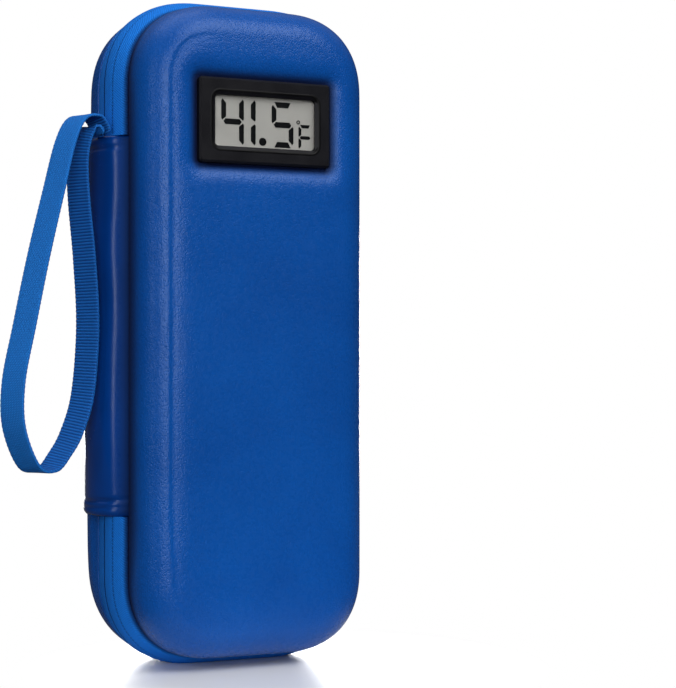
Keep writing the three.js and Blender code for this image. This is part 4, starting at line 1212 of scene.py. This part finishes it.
def packPiece(name, node, body, shown):
    low, high = boxOf(node)
    radius = (high[0] - low[0]) / 2
    centreY = (low[1] + high[1]) / 2
    scale = (high[1] - low[1]) / 2 / max(depth for _, depth in pack["profile"])
    angle = np.linspace(0, math.pi, pack["steps"])
    top = circle(angle) * (-1, 1)
    way = np.concatenate([top, -top])
    anchor = np.repeat([(0, high[2] - radius), (0, low[2] + radius)], len(top), 0)
    half = [(inset + pack["seam"] * (1 - bump(0, 0.5, depth)), depth) for inset, depth in pack["profile"]]
    half = [(inset, depth * scale) for inset, depth in half + pack["panel"]]
    section = [(inset, -depth) for inset, depth in reversed(half)] + half[1:]
    points = [atDepth(anchor + (radius - inset) * way, centreY + depth) for inset, depth in section]
    makePiece(name, points, tubeFaces(len(section), len(way)), icePlastic, body, [node])
    panelY = centreY + shown * pack["panel"][-1][1] * scale
    shapes = [shape for x, z in pack["flakes"] for shape in flakeShapes(np.array((-shown * x, z)))]
    parts = []
    for number, shape in enumerate(shapes):  # strokes that cross get a slightly different height
        skin = pack["print"] + pack["printStep"] * (number % 7)
        parts.append(prism(shape, panelY + shown * skin, panelY - shown * pack["sunk"]))
    points, faces = gather(parts)
    makePiece(name + "Flakes", points, faces, whitePrint, body, flat=True)


packPiece("frontPack", "front_ice_pack", "lid_pack", 1)
packPiece("backPack", "back_ice_pack", "back_pack", -1)
print("packs filled")

# stage, light and camera

stage = {
    "reach": 6.0, "tone": "f2f3f7", "light": "fafbfc", "centre": (-0.01, 0.03, 0.0),
    "clear": 0.045, "white": 0.09, "bounce": (0.07, 0.07, 0.07, 1), "plain": (1, 1, 1, 1),
}
floorMesh = bpy.data.meshes.new("floor")
corners = [(x * stage["reach"], y * stage["reach"], 0) for x, y in ((-1, -1), (1, -1), (1, 1), (-1, 1))]
floorMesh.from_pydata(corners, [], [(0, 1, 2, 3)])
floor = bpy.data.objects.new("floor", floorMesh)
scene.collection.objects.link(floor)
ground = Paint("floorPaint", Roughness=0.22, Specular_IOR_Level=0.3)
ground.colour(ground.worn(ground.noise(3, 2), 0.3, 0.7, stage["tone"], stage["light"]))
offset = ground.node("VectorMath", {"operation": "ADD"}, {0: ground.place(), 1: stage["centre"]})
distance = ground.node("VectorMath", {"operation": "LENGTH"}, {0: offset}, "Value")
viewed = ground.node("LightPath", out="Is Camera Ray")
glow = ground.node("Emission", None, {"Color": ground.mix(viewed, stage["bounce"], stage["plain"])})
faded = ground.ramp(distance, stage["clear"], stage["white"])
lit = Socket(ground, ground.shader.outputs[0])
surface = ground.node("MixShader", None, {0: faded, 1: lit, 2: glow})
ground.feed(ground.tree.nodes["Material Output"].inputs["Surface"], surface)
floorMesh.materials.append(ground.material)

lights = {  # place, size and power
    "key": ((0.3, -1.05, 1.3), (1.1, 1.1), 17.2),
    "frontStrip": ((-0.56, -1.29, 0.2), (0.8, 1.1), 13.8),
    "sideStrip": ((-1.21, -0.48, 0.2), (0.12, 1.2), 2.4),
    "overhead": ((-0.3, 0.05, 1.5), (1.1, 1.1), 5),
    "backFill": ((0.47, 1.21, 0.1), (0.9, 0.3), 11),
}
for name, (spot, size, power) in lights.items():
    light = bpy.data.lights.new(name, "AREA")
    light.shape = "RECTANGLE"
    light.size, light.size_y = size
    light.energy = power
    lamp = bpy.data.objects.new(name, light)
    lamp.location = spot
    aim = Vector((0, 0, caseTop / 2 * mm)) - Vector(spot)
    lamp.rotation_euler = aim.to_track_quat("-Z", "Y").to_euler()
    scene.collection.objects.link(lamp)

sky = {
    "ambient": 0.17, "low": 0.03, "high": 0.3, "rise": (0.3, 0.75), "seen": 1.0,
    "backdrop": (0.41, 0.885, -0.22), "spread": (0.93, 0.995), "bright": 1.0,
}
world = bpy.data.worlds.new("studio")
scene.world = world
world.use_nodes = True
studio = NodeTree(world.node_tree)
gaze = studio.node("TexCoord", out="Generated")
upward = studio.node("SeparateXYZ", None, {0: gaze}, "Z")
facing = studio.node("VectorMath", {"operation": "DOT_PRODUCT"}, {0: gaze, 1: sky["backdrop"]}, "Value")
reflected = studio.ramp(upward, *sky["rise"], sky["low"], sky["high"])
reflected = reflected + studio.ramp(facing, *sky["spread"], 0.0, sky["bright"])
glossy, direct, through = [
    studio.node("LightPath", out=ray) for ray in ("Is Glossy Ray", "Is Camera Ray", "Is Transmission Ray")
]
seen = studio.math("MAXIMUM", direct, through)
strength = glossy * reflected + (1 - glossy) * sky["ambient"]
strength = seen * sky["seen"] + (1 - seen) * strength
background = world.node_tree.nodes["Background"]
background.inputs["Color"].default_value = (1, 1, 1, 1)
studio.feed(background.inputs["Strength"], strength)

view = {"spot": (-0.2294, -0.5868, 0.101), "turn": 24.98, "lens": 92.36, "sensor": 36, "rise": 0.0422}
camera = bpy.data.cameras.new("camera")
camera.lens = view["lens"]
camera.sensor_width = view["sensor"]
camera.shift_y = view["rise"]
camera.clip_start = 0.01
eye = bpy.data.objects.new("camera", camera)
eye.location = view["spot"]
eye.rotation_euler = (math.pi / 2, 0, -math.radians(view["turn"]))
scene.collection.objects.link(eye)
scene.camera = eye
scene.view_settings.view_transform = "Standard"
print("lit")
